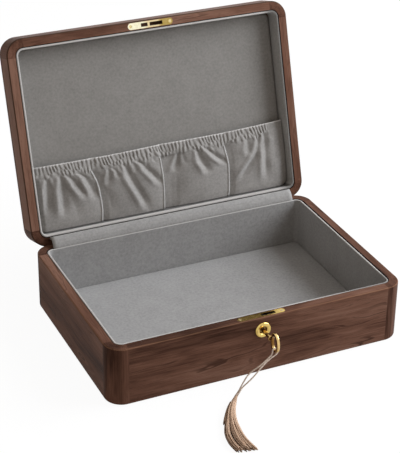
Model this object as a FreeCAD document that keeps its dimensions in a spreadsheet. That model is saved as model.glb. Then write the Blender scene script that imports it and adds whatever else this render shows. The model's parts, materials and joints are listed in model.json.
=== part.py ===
import FreeCAD, Part
import math
import os
import re

import Sketcher

Vector = FreeCAD.Vector
Rotation = FreeCAD.Rotation
Placement = FreeCAD.Placement

# Driving sizes, in millimetres and degrees; X is right, Y is back, Z is up, the box stands on ground
SIZES = {
    # box
    "ground": 0,
    "width": 300,
    "depth": 206,
    "base_height": 59.5,
    "lid_height": 26.8,
    "rim_gap": 0.2,
    "wood": 9.4,
    "corner_radius": 17,
    "corner_reach": 18,
    "rim_round": 1.5,
    "rim_inner_round": 0.6,
    "foot_round": 2.5,
    "crown_round": 3,
    "bottom_thick": 6,
    "bottom_rabbet": 4,
    "lid_top": 7,
    "overrun": 5,
    # lining
    "liner": 2.2,
    "liner_round": 0.9,
    "liner_drop": 0.3,
    "lining_fit": 0.2,
    "floor_pad": 4.2,
    "floor_round": 1,
    "inner_pad": 4,
    "inner_fit": 0.6,
    "inner_round": 2,
    # lid hinges
    "lid_open_angle": 107,
    "hinge_inset": 1.6,
    "stop_play": 0.1,
    "hinge_from_end": 65,
    "hinge_length": 36,
    "lid_knuckle": 12,
    "knuckle_gap": 0.3,
    "leaf_width": 7,
    "leaf_thick": 1.2,
    "barrel_radius": 2,
    "barrel_play": 0.3,
    "pin_radius": 1,
    "pin_play": 0.06,
    # screws
    "screw_head_radius": 1.6,
    "screw_head_depth": 1,
    "screw_radius": 0.8,
    "screw_length": 7,
    "screw_slot": 0.5,
    "screw_slot_depth": 0.4,
    # lock in the front rail
    "lock_drop": 13.3,
    "plate_length": 48,
    "plate_width": 6.6,
    "plate_thick": 1.2,
    "plate_screw_inset": 2.8,
    "slot_start": 0.2,
    "slot_end": 14.4,
    "slot_width": 3.6,
    "case_left": 9,
    "case_right": 19.2,
    "case_below": 8.6,
    "case_thick": 6.4,
    "case_wall": 1,
    "plug_radius": 4.2,
    "plug_play": 0.08,
    "plug_set_back": 0.5,
    "pivot_radius": 2,
    "collar_radius": 5.4,
    "collar_play": 0.3,
    "escutcheon_radius": 8,
    "escutcheon_thick": 1.8,
    "escutcheon_round": 1.4,
    "keyhole_radius": 3.4,
    "keyhole_round": 0.6,
    "hub_radius": 6.2,
    "hook_thick": 2.4,
    "hook_reach": 17.6,
    "hook_back": 4.6,
    "hook_lead": 0.6,
    "beak_length": 4.2,
    "beak_thick": 2.5,
    # strike in the lid
    "strike_small_start": 10,
    "strike_small_end": 3,
    "strike_large_start": 0.7,
    "strike_large_end": 13,
    "strike_cavity_margin": 0.8,
    "strike_cavity_depth": 7,
    # key
    "key_radius": 1.8,
    "key_play": 0.1,
    "key_inside": 5.6,
    "key_end_gap": 0.4,
    "bit_reach": 3,
    "bit_thick": 1.5,
    "bit_length": 3.6,
    "key_collar_start": 14.6,
    "key_collar_length": 1.8,
    "key_collar_radius": 2.6,
    "key_collar_round": 0.6,
    "bow_start": 17.5,
    "bow_half_length": 7.25,
    "bow_half_height": 10,
    "bow_wall": 3.2,
    "bow_thick": 2.8,
    "bow_round": 0.9,
    # pocket in the lid
    "pocket_top_y": 25.5,
    "pocket_side_gap": 1.2,
    "pocket_cloth": 1,
    "pocket_clear": 0.3,
    "pocket_bulge": 8,
    "pocket_fold": 1.7,
    "hem_height": 9.5,
    "seam_spacing": 71,
    "seam_width": 1.8,
    "seam_height": 1.2,
    # cloth strip over the hinges
    "strip_thick": 0.8,
    "strip_clear": 0.2,
    # tassel
    "string_diameter": 1.3,
    "neck_length": 10.6,
    "neck_radius": 2.3,
    "skirt_radius": 2.9,
    "skirt_length": 70,
    "skirt_width": 15.5,
    "skirt_height": 6,
    "tassel_clear": 0.3,
}

# Sizes that follow from the driving ones
FOLLOWING = {
    "half_width": "width / 2",
    "half_depth": "depth / 2",
    "rail_half_width": "half_width - corner_reach",
    "rail_half_depth": "half_depth - corner_reach",
    "inner_half_width": "half_width - wood",
    "inner_half_depth": "half_depth - wood",
    "inner_radius": "corner_radius - wood",
    "bottom_half_width": "inner_half_width + bottom_rabbet",
    "bottom_half_depth": "inner_half_depth + bottom_rabbet",
    "bottom_radius": "inner_radius + bottom_rabbet",
    "lined_half_width": "inner_half_width - liner",
    "lined_half_depth": "inner_half_depth - liner",
    "lined_radius": "inner_radius - liner",
    "floor_half_width": "lined_half_width - lining_fit",
    "floor_half_depth": "lined_half_depth - lining_fit",
    "floor_radius": "lined_radius - lining_fit",
    "floor_top": "bottom_thick + floor_pad",
    "base_liner_top": "base_height - liner_drop",
    "panel_half_width": "lined_half_width - inner_fit",
    "panel_half_depth": "lined_half_depth - inner_fit",
    "panel_radius": "lined_radius - inner_fit",
    "lid_low": "base_height + rim_gap",
    "closed_top": "lid_low + lid_height",
    "frame_top": "closed_top - lid_top",
    "lid_liner_low": "lid_low + liner_drop",
    "panel_face": "frame_top - inner_pad",
    "hinge_y": "half_depth - hinge_inset",
    "hinge_z": "base_height + rim_gap / 2",
    "open_shift_y": "hinge_y - hinge_y * cos(lid_open_angle) - hinge_z * sin(lid_open_angle)",
    "open_shift_z": "hinge_z + hinge_y * sin(lid_open_angle) - hinge_z * cos(lid_open_angle)",
    "rim_mid": "half_depth - wood / 2",
    "lock_z": "base_height - lock_drop",
    "plate_low": "base_height - plate_thick",
    "strike_high": "lid_low + plate_thick",
    "case_front": "rim_mid + case_thick / 2",
    "case_back": "rim_mid - case_thick / 2",
    "pocket_half_width": "panel_half_width - pocket_side_gap",
    "pocket_low_y": "panel_half_depth - inner_round",
    "strip_base_y": "inner_half_depth - liner / 2",
    "bow_y": "-(half_depth + bow_start + bow_half_length)",
}

# Folds of the pocket cloth, and how bulge and folds fade from the hem down to the sewn lower edge
FOLDS_PER_COMPARTMENT = 7
POCKET_ROW_SHARES = (0, 0.14, 0.55, 1)
POCKET_BULGE_SHARES = (0.92, 1, 0.9, 0.12)
POCKET_FOLD_SHARES = (0.75, 1, 0.55, 0.12)

# Route of the tassel string: from the neck up one strand, over the foot of the bow, down the other strand
STRING_ROUTE = (
    (-41.5, -132.9, 3.6),
    (-36.4, -131.0, 6.0),
    (-27.5, -129.4, 12.2),
    (-18.5, -128.6, 20.2),
    (-10.5, -127.8, 28.6),
    (-3.8, -127.7, 34.4),
    (-2.6, -127.75, 40.4),
    (2.6, -127.75, 40.4),
    (2.6, -128.4, 34.0),
    (-4.0, -130.2, 31.2),
    (-11.5, -131.0, 27.6),
    (-21.0, -130.8, 23.8),
    (-28.6, -131.0, 18.8),
    (-32.6, -131.6, 11.4),
    (-37.0, -133.2, 6.6),
    (-40.2, -134.1, 3.6),
)
BEND_SHARE = 0.45

# The skirt's lay on the table: how it turns, widens and flattens from the neck to the tips
SKIRT_ALONG_SHARES = (0, 0.22, 0.46, 0.72, 1)
SKIRT_TURN_DEGREES = (228.4, 236, 250, 262, 268)
SKIRT_WIDTH_SHARES = (0.37, 0.78, 0.86, 0.95, 1)
SKIRT_HEIGHT_SHARES = (0.97, 1, 0.9, 0.75, 0.6)

HINGE_SCREW_SHARE = 0.34
LEAF_SCREW_SHARE = 0.55
NEAR = 1e-4

doc = FreeCAD.newDocument("storage_box")
sheet = doc.addObject("Spreadsheet::Sheet", "sizes")
NAMES = {**SIZES, **FOLLOWING}


def link(formula):
    """The same formula with every size name pointing at the sheet."""
    return re.sub(r"[a-z_]+", lambda m: "sizes." + m.group() if m.group() in NAMES else m.group(), formula)


for row, (name, content) in enumerate(NAMES.items(), start=1):
    sheet.set(f"A{row}", name)
    sheet.set(f"B{row}", f"={content}" if name in FOLLOWING else str(content))
    sheet.setAlias(f"B{row}", name)
doc.recompute()


def size(name):
    return float(sheet.get(name))


def bind(obj, path, formula):
    obj.setExpression(path, link(formula))


def place(obj, **formulas):
    for axis, formula in formulas.items():
        bind(obj, f"Placement.Base.{axis}", formula)


# Blocks, rods and cones between named places


def block(name, x, y, z):
    box = doc.addObject("Part::Box", name)
    for side, axis, (low, high) in zip(("Length", "Width", "Height"), "xyz", (x, y, z)):
        bind(box, side, f"({high}) - ({low})")
        bind(box, f"Placement.Base.{axis}", low)
    return box


AXIS_TURNS = {
    "x": Rotation(Vector(0, 1, 0), 90),
    "y": Rotation(Vector(1, 0, 0), -90),
    "z": Rotation(),
}


def rod(name, axis, start, end, radius, **centre):
    cylinder = doc.addObject("Part::Cylinder", name)
    cylinder.Placement = Placement(Vector(), AXIS_TURNS[axis])
    bind(cylinder, "Radius", radius)
    bind(cylinder, "Height", f"({end}) - ({start})")
    place(cylinder, **{axis: start}, **centre)
    return cylinder


def cone(name, low_radius, high_radius, x, y, low, high):
    frustum = doc.addObject("Part::Cone", name)
    bind(frustum, "Radius1", low_radius)
    bind(frustum, "Radius2", high_radius)
    bind(frustum, "Height", f"({high}) - ({low})")
    place(frustum, x=x, y=y, z=low)
    return frustum


# Booleans, groups and rounded edges


def fuse(name, *shapes):
    union = doc.addObject("Part::MultiFuse", name)
    union.Shapes = list(shapes)
    return union


def cut(name, base, *tools):
    difference = doc.addObject("Part::Cut", name)
    difference.Base = base
    difference.Tool = tools[0] if len(tools) == 1 else fuse(name + "_tools", *tools)
    return difference


def common(name, base, tool):
    overlap = doc.addObject("Part::Common", name)
    overlap.Base = base
    overlap.Tool = tool
    return overlap


def group(name, *members):
    compound = doc.addObject("Part::Compound", name)
    compound.Links = list(members)
    return compound


def round_edges(name, base, radius, chosen):
    doc.recompute()
    fillet = doc.addObject("Part::Fillet", name)
    fillet.Base = base
    edges = enumerate(base.Shape.Edges, start=1)
    fillet.Edges = [(number, size(radius), size(radius)) for number, edge in edges if chosen(edge)]
    return fillet


# Sketched plates and rings with rounded corners


def rounded_outline(sketch, tag, half_x, half_y, radius):
    hx, hy, r = size(half_x), size(half_y), size(radius)
    first = len(sketch.Geometry)
    arcs = []
    for quarter, (sx, sy) in enumerate(((1, 1), (-1, 1), (-1, -1), (1, -1))):
        circle = Part.Circle(Vector(sx * (hx - r), sy * (hy - r), 0), Vector(0, 0, 1), r)
        start = quarter * math.pi / 2
        arcs.append(Part.ArcOfCircle(circle, start, start + math.pi / 2))
    for number, arc in enumerate(arcs):
        sketch.addGeometry(arc, False)
        following = arcs[(number + 1) % len(arcs)]
        sketch.addGeometry(Part.LineSegment(arc.EndPoint, following.StartPoint), False)
    count = 2 * len(arcs)
    for number in range(count):
        here, after = first + number, first + (number + 1) % count
        sketch.addConstraint(Sketcher.Constraint("Tangent", here, 2, after, 1))
    for number in range(1, count, 2):
        level = "Horizontal" if number % 4 == 1 else "Vertical"
        sketch.addConstraint(Sketcher.Constraint(level, first + number))
    for number in range(2, count, 2):
        sketch.addConstraint(Sketcher.Constraint("Equal", first, first + number))
    sketch.addConstraint(Sketcher.Constraint("Symmetric", first, 3, first + 4, 3, -1, 1))
    for kind, value, formula in (
        (("Radius", first), r, radius),
        (("DistanceX", -1, 1, first, 3), hx - r, f"{half_x} - {radius}"),
        (("DistanceY", -1, 1, first, 3), hy - r, f"{half_y} - {radius}"),
    ):
        index = sketch.addConstraint(Sketcher.Constraint(*kind, value))
        label = f"{tag}_{kind[0]}"
        sketch.renameConstraint(index, label)
        bind(sketch, f"Constraints.{label}", formula)


def outline_sketch(body, name, level, *outlines):
    sketch = body.newObject("Sketcher::SketchObject", name)
    plane = next(part for part in body.Origin.OriginFeatures if part.Role == "XY_Plane")
    sketch.AttachmentSupport = (plane, [""])
    sketch.MapMode = "FlatFace"
    bind(sketch, "AttachmentOffset.Base.z", level)
    for number, outline in enumerate(outlines):
        rounded_outline(sketch, f"outline_{number}", *outline)
    return sketch


def plate(name, low, high, *outlines):
    """A body padded from one rounded outline, or a ring padded between two."""
    body = doc.addObject("PartDesign::Body", name)
    pad = body.newObject("PartDesign::Pad", name + "_pad")
    pad.Profile = outline_sketch(body, name + "_outline", low, *outlines)
    bind(pad, "Length", f"{high} - {low}")
    body.Tip = pad
    doc.recompute()
    return body


def recess(body, level, depth, outline):
    """A pocket that goes up into the body from the given level."""
    before = body.Shape.Volume
    pocket = body.newObject("PartDesign::Pocket", body.Name + "_recess")
    pocket.Profile = outline_sketch(body, body.Name + "_recess_outline", level, outline)
    pocket.Reversed = True
    bind(pocket, "Length", depth)
    body.Tip = pocket
    doc.recompute()
    if not body.Shape.Volume < before:
        raise RuntimeError(f"the recess of {body.Name} cut nothing")


def round_rim(body, level, radius, inside=False):
    """Rounds the outer edge, or the inner one, of the body's flat faces at a level."""
    feature = body.Tip
    rims = []
    for face in feature.Shape.Faces:
        if face.BoundBox.ZLength < NEAR and abs(face.CenterOfMass.z - size(level)) < NEAR:
            for wire in face.Wires:
                if wire.isSame(face.OuterWire) != inside:
                    rims.extend(wire.Edges)
    edges = enumerate(feature.Shape.Edges, start=1)
    names = [f"Edge{number}" for number, edge in edges if any(edge.isSame(rim) for rim in rims)]
    fillet = body.newObject("PartDesign::Fillet", f"{body.Name}_{radius}")
    fillet.Base = (feature, names)
    bind(fillet, "Radius", radius)
    body.Tip = fillet
    doc.recompute()


OUTER = ("half_width", "half_depth", "corner_radius")
INNER = ("inner_half_width", "inner_half_depth", "inner_radius")
LINED = ("lined_half_width", "lined_half_depth", "lined_radius")
BOTTOM = ("bottom_half_width", "bottom_half_depth", "bottom_radius")

PARTS = {}


def keep(node, obj, lid=False):
    """Notes a finished piece; a piece of the lid is modelled closed and swung open here."""
    obj.Label = node
    PARTS[node] = obj
    if lid:
        obj.Placement = Placement(Vector(), Rotation(Vector(-1, 0, 0), size("lid_open_angle")))
        bind(obj, "Placement.Rotation.Angle", "lid_open_angle")
        place(obj, y="open_shift_y", z="open_shift_z")
    return obj


# Wooden frames: a ring with bevelled back edges that meet when the lid is open, split into rails and posts

base_frame = plate("base_frame", "ground", "base_height", OUTER, INNER)
recess(base_frame, "ground", "bottom_thick", BOTTOM)
round_rim(base_frame, "base_height", "rim_round")
round_rim(base_frame, "base_height", "rim_inner_round", inside=True)
round_rim(base_frame, "ground", "foot_round")

lid_frame = plate("lid_frame", "lid_low", "frame_top", OUTER, INNER)
round_rim(lid_frame, "lid_low", "rim_round")
round_rim(lid_frame, "lid_low", "rim_inner_round", inside=True)


def bevel(name, turn, level, low, high):
    x = ("-half_width - overrun", "half_width + overrun")
    wedge = block(name, x, ("hinge_y", "half_depth"), (low, high))
    bind(wedge, "Width", "hinge_inset + 2 * overrun")
    wedge.Placement = Placement(Vector(), Rotation(Vector(turn, 0, 0), size("lid_open_angle") / 2))
    bind(wedge, "Placement.Rotation.Angle", "lid_open_angle / 2")
    bind(wedge, "Placement.Base.z", level)
    return wedge


base_bevel = bevel("base_bevel", -1, "hinge_z - stop_play", "ground", "overrun")
lid_bevel_low = "hinge_z + stop_play - overrun * cos(lid_open_angle / 2)"
lid_bevel = bevel("lid_bevel", 1, lid_bevel_low, "ground", "overrun")
place(lid_bevel, y="hinge_y + overrun * sin(lid_open_angle / 2)")

RAIL_X = ("-rail_half_width", "rail_half_width")
RAIL_Y = ("-rail_half_depth", "rail_half_depth")
SIDES = {
    "left": ("-half_width - overrun", "-rail_half_width"),
    "right": ("rail_half_width", "half_width + overrun"),
}
ENDS = {
    "front": ("-half_depth - overrun", "-rail_half_depth"),
    "back": ("rail_half_depth", "half_depth + overrun"),
}
PIECES = {f"{end}_rail": (RAIL_X, span) for end, span in ENDS.items()}
PIECES.update({f"{side}_rail": (span, RAIL_Y) for side, span in SIDES.items()})
PIECES.update(
    {f"corner_{end}_{side}": (SIDES[side], ENDS[end]) for end in ENDS for side in SIDES}
)


def split(prefix, ring, height, blanks):
    pieces = {}
    for piece, (x, y) in PIECES.items():
        node = f"{prefix}_{piece}"
        label = node + "_blank" if piece in blanks else node
        pieces[piece] = common(label, ring, block(node + "_part", x, y, height))
    return pieces


base_pieces = split(
    "base", cut("base_ring", base_frame, base_bevel), ("ground - overrun", "base_height + overrun"),
    ("front_rail", "back_rail"),
)
lid_pieces = split(
    "lid", cut("lid_ring", lid_frame, lid_bevel), ("lid_low - overrun", "frame_top + overrun"),
    ("front_rail", "back_rail"),
)
for piece in PIECES:
    if piece not in ("front_rail", "back_rail"):
        keep(f"base_{piece}", base_pieces[piece])
        keep(f"lid_{piece}", lid_pieces[piece], lid=True)

keep("base_bottom_panel", plate("base_bottom_panel", "ground", "bottom_thick", BOTTOM))
lid_top_panel = plate("lid_top_panel", "frame_top", "closed_top", OUTER)
round_rim(lid_top_panel, "closed_top", "crown_round")
keep("lid_top_panel", lid_top_panel, lid=True)

# Cloth-covered lining boards

base_liner = plate("base_liner_wall", "bottom_thick", "base_liner_top", INNER, LINED)
round_rim(base_liner, "base_liner_top", "liner_round")
round_rim(base_liner, "base_liner_top", "liner_round", inside=True)
keep("base_liner_wall", base_liner)

floor_outline = ("floor_half_width", "floor_half_depth", "floor_radius")
base_floor = plate("base_floor_pad", "bottom_thick", "floor_top", floor_outline)
round_rim(base_floor, "floor_top", "floor_round")
keep("base_floor_pad", base_floor)

lid_liner = plate("lid_liner_wall", "lid_liner_low", "frame_top", INNER, LINED)
round_rim(lid_liner, "lid_liner_low", "liner_round")
round_rim(lid_liner, "lid_liner_low", "liner_round", inside=True)
keep("lid_liner_wall", lid_liner, lid=True)

panel_outline = ("panel_half_width", "panel_half_depth", "panel_radius")
lid_panel = plate("lid_inner_panel", "panel_face", "frame_top", panel_outline)
round_rim(lid_panel, "panel_face", "inner_round")
keep("lid_inner_panel", lid_panel, lid=True)

# Countersunk screws: the plain form also cuts their seats


def screw(name, x, y, face, up):
    """A plain screw whose head is flush with a face, and the slot in that head."""
    inward = 1 if up else -1
    depth = f"{face} + {inward} * screw_head_depth"
    tip = f"{face} + {inward} * screw_length"
    radii = ("screw_head_radius", "screw_radius")
    if up:
        head = cone(name + "_head", *radii, x, y, face, depth)
        shank = rod(name + "_shank", "z", depth, tip, "screw_radius", x=x, y=y)
    else:
        head = cone(name + "_head", *reversed(radii), x, y, depth, face)
        shank = rod(name + "_shank", "z", tip, depth, "screw_radius", x=x, y=y)
    reach = "screw_head_radius"
    slot = block(
        name + "_slot",
        (f"{x} - {reach}", f"{x} + {reach}"),
        (f"{y} - screw_slot / 2", f"{y} + screw_slot / 2"),
        (f"{face} - screw_slot_depth", f"{face} + screw_slot_depth"),
    )
    plain = fuse(name + "_plain", head, shank)
    return plain, cut(name, plain, slot)


# Hinges: each leaf is let into its rim, with knuckles on a pin at the back edge

SPAN = "hinge_length / 2"
LEAF_Y = ("hinge_y - leaf_width", "hinge_y")
hinge_cuts = {"base": [], "lid": []}
hinge_screws = {"base": [], "lid": []}


def hinge(side, centre):
    def across(low, high):
        return f"{centre} - ({low})", f"{centre} + ({high})"

    def barrel(name, ends, radius):
        return rod(f"hinge_{side}_{name}", "x", *ends, radius, y="hinge_y", z="hinge_z")

    middle = across("lid_knuckle / 2", "lid_knuckle / 2")
    gap = across("lid_knuckle / 2 + knuckle_gap", "lid_knuckle / 2 + knuckle_gap")
    whole = across(SPAN, SPAN)
    outer = ((whole[0], gap[0]), (gap[1], whole[1]))
    notch_ends = across(f"{SPAN} + knuckle_gap", f"{SPAN} + knuckle_gap")
    room = "barrel_radius + barrel_play"

    levels = {
        "base": ("base_height - leaf_thick", "base_height"),
        "lid": ("lid_low", "lid_low + leaf_thick"),
    }
    knuckles = {"base": outer, "lid": (middle,)}
    foreign = {"base": (gap,), "lid": ((whole[0], middle[0]), (middle[1], whole[1]))}
    bores = {"base": "pin_radius", "lid": "pin_radius + pin_play"}
    for half in ("base", "lid"):
        own = [
            barrel(f"{half}_knuckle_{number}", ends, "barrel_radius")
            for number, ends in enumerate(knuckles[half])
        ]
        leaf = block(f"hinge_{side}_{half}_plate", whole, LEAF_Y, levels[half])
        clear = [
            barrel(f"{half}_clear_{number}", ends, room) for number, ends in enumerate(foreign[half])
        ]
        bore = barrel(f"{half}_bore", notch_ends, bores[half])
        seats = []
        for number, sign in enumerate(("-", "+")):
            plain, finished = screw(
                f"hinge_{side}_{half}_screw_{number}",
                f"({centre} {sign} hinge_length * {HINGE_SCREW_SHARE})",
                f"(hinge_y - leaf_width * {LEAF_SCREW_SHARE})",
                "base_height" if half == "base" else "lid_low",
                half == "lid",
            )
            seats.append(plain)
            hinge_screws[half].append(finished)
        node = f"hinge_{side}_{half}_leaf"
        whole_leaf = fuse(node + "_whole", cut(node + "_trimmed", leaf, *clear), *own)
        keep(node, cut(node, whole_leaf, bore, *seats), lid=half == "lid")
        notch = barrel(f"{half}_notch", notch_ends, room)
        seat = block(node + "_seat", whole, LEAF_Y, levels[half])
        hinge_cuts[half].extend([seat, notch, *seats])
    keep(f"hinge_{side}_pin", barrel("pin", whole, "pin_radius"))


for side, sign in (("left", "-"), ("right", "")):
    hinge(side, f"({sign}(half_width - hinge_from_end))")
keep("hinge_base_screws", group("hinge_base_screws", *hinge_screws["base"]))
keep("hinge_lid_screws", group("hinge_lid_screws", *hinge_screws["lid"]), lid=True)
keep("base_back_rail", cut("base_back_rail", base_pieces["back_rail"], *hinge_cuts["base"]))
keep("lid_back_rail", cut("lid_back_rail", lid_pieces["back_rail"], *hinge_cuts["lid"]), lid=True)

# Lock plates in the two front rims, each with round ends and two screws

PLATE_X = ("-(plate_length - plate_width) / 2", "(plate_length - plate_width) / 2")
SLOT_Y = ("-rim_mid - slot_width / 2", "-rim_mid + slot_width / 2")


def round_ended(name, low, high):
    ends = [
        rod(f"{name}_end_{number}", "z", low, high, "plate_width / 2", x=x, y="-rim_mid")
        for number, x in enumerate(PLATE_X)
    ]
    y = ("-rim_mid - plate_width / 2", "-rim_mid + plate_width / 2")
    return fuse(name, block(name + "_middle", PLATE_X, y, (low, high)), *ends)


def plate_screws(name, face, up):
    places = ("(plate_screw_inset - plate_length / 2)", "(plate_length / 2 - plate_screw_inset)")
    pairs = [screw(f"{name}_{number}", x, "(-rim_mid)", face, up) for number, x in enumerate(places)]
    return [plain for plain, _ in pairs], group(name, *[finished for _, finished in pairs])


face_seats, face_screws = plate_screws("lock_plate_screws", "base_height", False)
keep("lock_plate_screws", face_screws)
face_plate = round_ended("lock_face_plate_blank", "plate_low", "base_height")
face_slot = block(
    "lock_face_slot", ("slot_start", "slot_end"), SLOT_Y, ("plate_low - overrun", "base_height + overrun")
)
keep("lock_face_plate", cut("lock_face_plate", face_plate, face_slot, *face_seats))

strike_seats, strike_screws = plate_screws("strike_screws", "lid_low", True)
keep("strike_screws", strike_screws, lid=True)
strike_plate = round_ended("strike_plate_blank", "lid_low", "strike_high")
strike_z = ("lid_low - overrun", "strike_high + overrun")
strike_small = block("strike_small", ("-strike_small_start", "-strike_small_end"), SLOT_Y, strike_z)
strike_large = block("strike_large", ("-strike_large_start", "strike_large_end"), SLOT_Y, strike_z)
keep("strike_plate", cut("strike_plate", strike_plate, strike_small, strike_large, *strike_seats), lid=True)

strike_cavity = block(
    "strike_cavity",
    ("-strike_small_start - strike_cavity_margin", "strike_large_end + strike_cavity_margin"),
    SLOT_Y,
    ("lid_low", "strike_high + strike_cavity_depth"),
)
lid_front = cut("lid_front_rail", lid_pieces["front_rail"], strike_plate, strike_cavity, *strike_seats)
keep("lid_front_rail", lid_front, lid=True)

# Lock case in its mortise, with the plug, the hook and the ring around the keyhole

CASE_X = ("-case_left", "case_right")
CASE_Y = ("-case_front", "-case_back")
CASE_Z = ("lock_z - case_below", "plate_low")


def lock_rod(name, start, end, radius):
    return rod(name, "y", start, end, radius, x="ground", z="lock_z")


case_block = block("lock_case_block", CASE_X, CASE_Y, CASE_Z)
case_hollow = block(
    "lock_case_hollow",
    ("-case_left + case_wall", "case_right - case_wall"),
    ("-case_front + case_wall", "-case_back - case_wall"),
    ("lock_z - case_below + case_wall", "plate_low + overrun"),
)
front_bore = lock_rod("lock_front_bore", "-case_front - overrun", "-rim_mid", "plug_radius + plug_play")
back_bore = lock_rod("lock_back_bore", "-rim_mid", "-case_back - key_end_gap", "pivot_radius + plug_play")
keep("lock_case", cut("lock_case", case_block, case_hollow, front_bore, back_bore))

collar_hole = lock_rod("collar_hole", "-half_depth - overrun", "-case_front", "collar_radius")
base_front = cut(
    "base_front_rail", base_pieces["front_rail"], face_plate, case_block, collar_hole, *face_seats
)
keep("base_front_rail", base_front)

ring_disc = lock_rod("escutcheon_disc", "-half_depth - escutcheon_thick", "-half_depth", "escutcheon_radius")
ring_collar = lock_rod("escutcheon_collar", "-half_depth", "-case_front", "collar_radius")
ring_hole = lock_rod("escutcheon_hole", "-half_depth - overrun", "-half_depth", "keyhole_radius")
ring_bore = lock_rod("escutcheon_bore", "-half_depth", "-case_front", "plug_radius + collar_play")
ring_blank = cut("escutcheon_blank", fuse("escutcheon_whole", ring_disc, ring_collar), ring_hole, ring_bore)


def front_circle(radius):
    """Picks the circle of one radius on the front of the ring around the keyhole."""

    def chosen(edge):
        front = abs(edge.CenterOfMass.y + size("half_depth") + size("escutcheon_thick")) < NEAR
        return front and hasattr(edge.Curve, "Radius") and abs(edge.Curve.Radius - size(radius)) < NEAR

    return chosen


ring_rounded = round_edges(
    "escutcheon_rounded", ring_blank, "escutcheon_round", front_circle("escutcheon_radius")
)
keep(
    "escutcheon",
    round_edges("escutcheon", ring_rounded, "keyhole_round", front_circle("keyhole_radius")),
)

PLUG_FRONT = "-half_depth + plug_set_back"
PLUG_BACK = "-case_back - case_wall - key_end_gap"
KEY_TIP = "-half_depth + key_inside"
plug_body = lock_rod("lock_plug_body", PLUG_FRONT, PLUG_BACK, "plug_radius")
plug_pivot = lock_rod("lock_plug_pivot", PLUG_BACK, "-case_back - 2 * key_end_gap", "pivot_radius")
plug_bore = lock_rod(
    "lock_plug_bore", "-half_depth - overrun", f"{KEY_TIP} + key_play", "key_radius + key_play"
)
plug_slot = block(
    "lock_plug_slot",
    ("-bit_thick / 2 - key_play", "bit_thick / 2 + key_play"),
    ("-half_depth - overrun", f"{KEY_TIP} + key_play"),
    ("lock_z - bit_reach - key_play", "lock_z"),
)
plug_whole = fuse("lock_plug_whole", plug_body, plug_pivot)
keep("lock_plug", cut("lock_plug", plug_whole, plug_bore, plug_slot))

HOOK_Y = ("-rim_mid - hook_thick / 2", "-rim_mid + hook_thick / 2")
hook_hub = lock_rod("lock_hook_hub", *HOOK_Y, "hub_radius")
hook_arm = block(
    "lock_hook_arm", ("ground", "hook_reach"), HOOK_Y, ("lock_z - hook_back", "lock_z - hook_lead")
)
hook_beak = block(
    "lock_hook_beak", ("hook_reach - beak_thick", "hook_reach"), HOOK_Y,
    ("lock_z - hook_back", "lock_z + beak_length"),
)
hook_seat = lock_rod("lock_hook_seat", "-case_front", "-case_back", "plug_radius")
keep("lock_hook", cut("lock_hook", fuse("lock_hook_whole", hook_hub, hook_arm, hook_beak), hook_seat))

# Key: a round shank with a bit, a collar, and an oval bow in the upright plane of the shank

BOW_NEAR = "-half_depth - bow_start"
COLLAR_FRONT = "-half_depth - key_collar_start - key_collar_length"
key_shank = lock_rod("key_shank", f"{BOW_NEAR} - bow_wall / 2", KEY_TIP, "key_radius")
key_bit = block(
    "key_bit", ("-bit_thick / 2", "bit_thick / 2"), (f"{KEY_TIP} - bit_length", KEY_TIP),
    ("lock_z - bit_reach", "lock_z"),
)
key_collar = round_edges(
    "key_collar",
    lock_rod("key_collar_blank", COLLAR_FRONT, "-half_depth - key_collar_start", "key_collar_radius"),
    "key_collar_round",
    lambda edge: edge.Closed,
)


def bow_oval(name, inset, half_thick):
    oval = doc.addObject("Part::Ellipse", name + "_oval")
    oval.Placement = Placement(Vector(), Rotation(Vector(1, 0, 1), 180))
    bind(oval, "MajorRadius", f"bow_half_height - {inset}")
    bind(oval, "MinorRadius", f"bow_half_length - {inset}")
    place(oval, x=f"-({half_thick})", y="bow_y", z="lock_z")
    solid = doc.addObject("Part::Extrusion", name)
    solid.Base = oval
    solid.DirMode = "Custom"
    solid.Dir = Vector(1, 0, 0)
    solid.Solid = True
    bind(solid, "LengthFwd", f"2 * ({half_thick})")
    return solid


bow_ring = cut(
    "key_bow_ring",
    bow_oval("key_bow_outer", "ground", "bow_thick / 2"),
    bow_oval("key_bow_opening", "bow_wall", "bow_thick / 2 + overrun"),
)
key_bow = round_edges(
    "key_bow", bow_ring, "bow_round", lambda edge: edge.Closed and edge.BoundBox.XLength < NEAR
)
keep("key", fuse("key", key_shank, key_bit, key_collar, key_bow))

# Cloth strip that hides the hinges, straight from the base's back lining to the lid's

lid_rise = "(lid_liner_low - hinge_z)"
lid_run = "(strip_base_y - hinge_y)"
strip_end_y = f"hinge_y + {lid_run} * cos(lid_open_angle) + {lid_rise} * sin(lid_open_angle)"
strip_end_z = f"hinge_z - {lid_run} * sin(lid_open_angle) + {lid_rise} * cos(lid_open_angle)"
strip_up_y = f"({strip_end_y} - strip_base_y)"
strip_up_z = f"({strip_end_z} - base_liner_top)"
strip_slope = f"atan2({strip_up_z}; {strip_up_y})"
strip = block(
    "hinge_cover_strip",
    RAIL_X,
    ("strip_base_y", "half_depth"),
    ("base_liner_top", "base_liner_top + strip_thick"),
)
strip.Placement = Placement(Vector(), Rotation(Vector(1, 0, 0), size("lid_open_angle") / 2))
bind(strip, "Placement.Rotation.Angle", strip_slope)
bind(strip, "Width", f"sqrt({strip_up_y} ^ 2 + {strip_up_z} ^ 2) - 2 * strip_clear")
place(
    strip,
    y=f"strip_base_y + strip_clear * (cos({strip_slope}) - sin({strip_slope}))",
    z=f"base_liner_top + strip_clear * (cos({strip_slope}) + sin({strip_slope}))",
)
keep("hinge_cover_strip", strip)

# Gathered pocket: a cloth on the lid's inner panel with four compartments, folds fading to its lower edge


def shaped(name, shape):
    feature = doc.addObject("Part::Feature", name)
    feature.Shape = shape
    return feature


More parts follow.
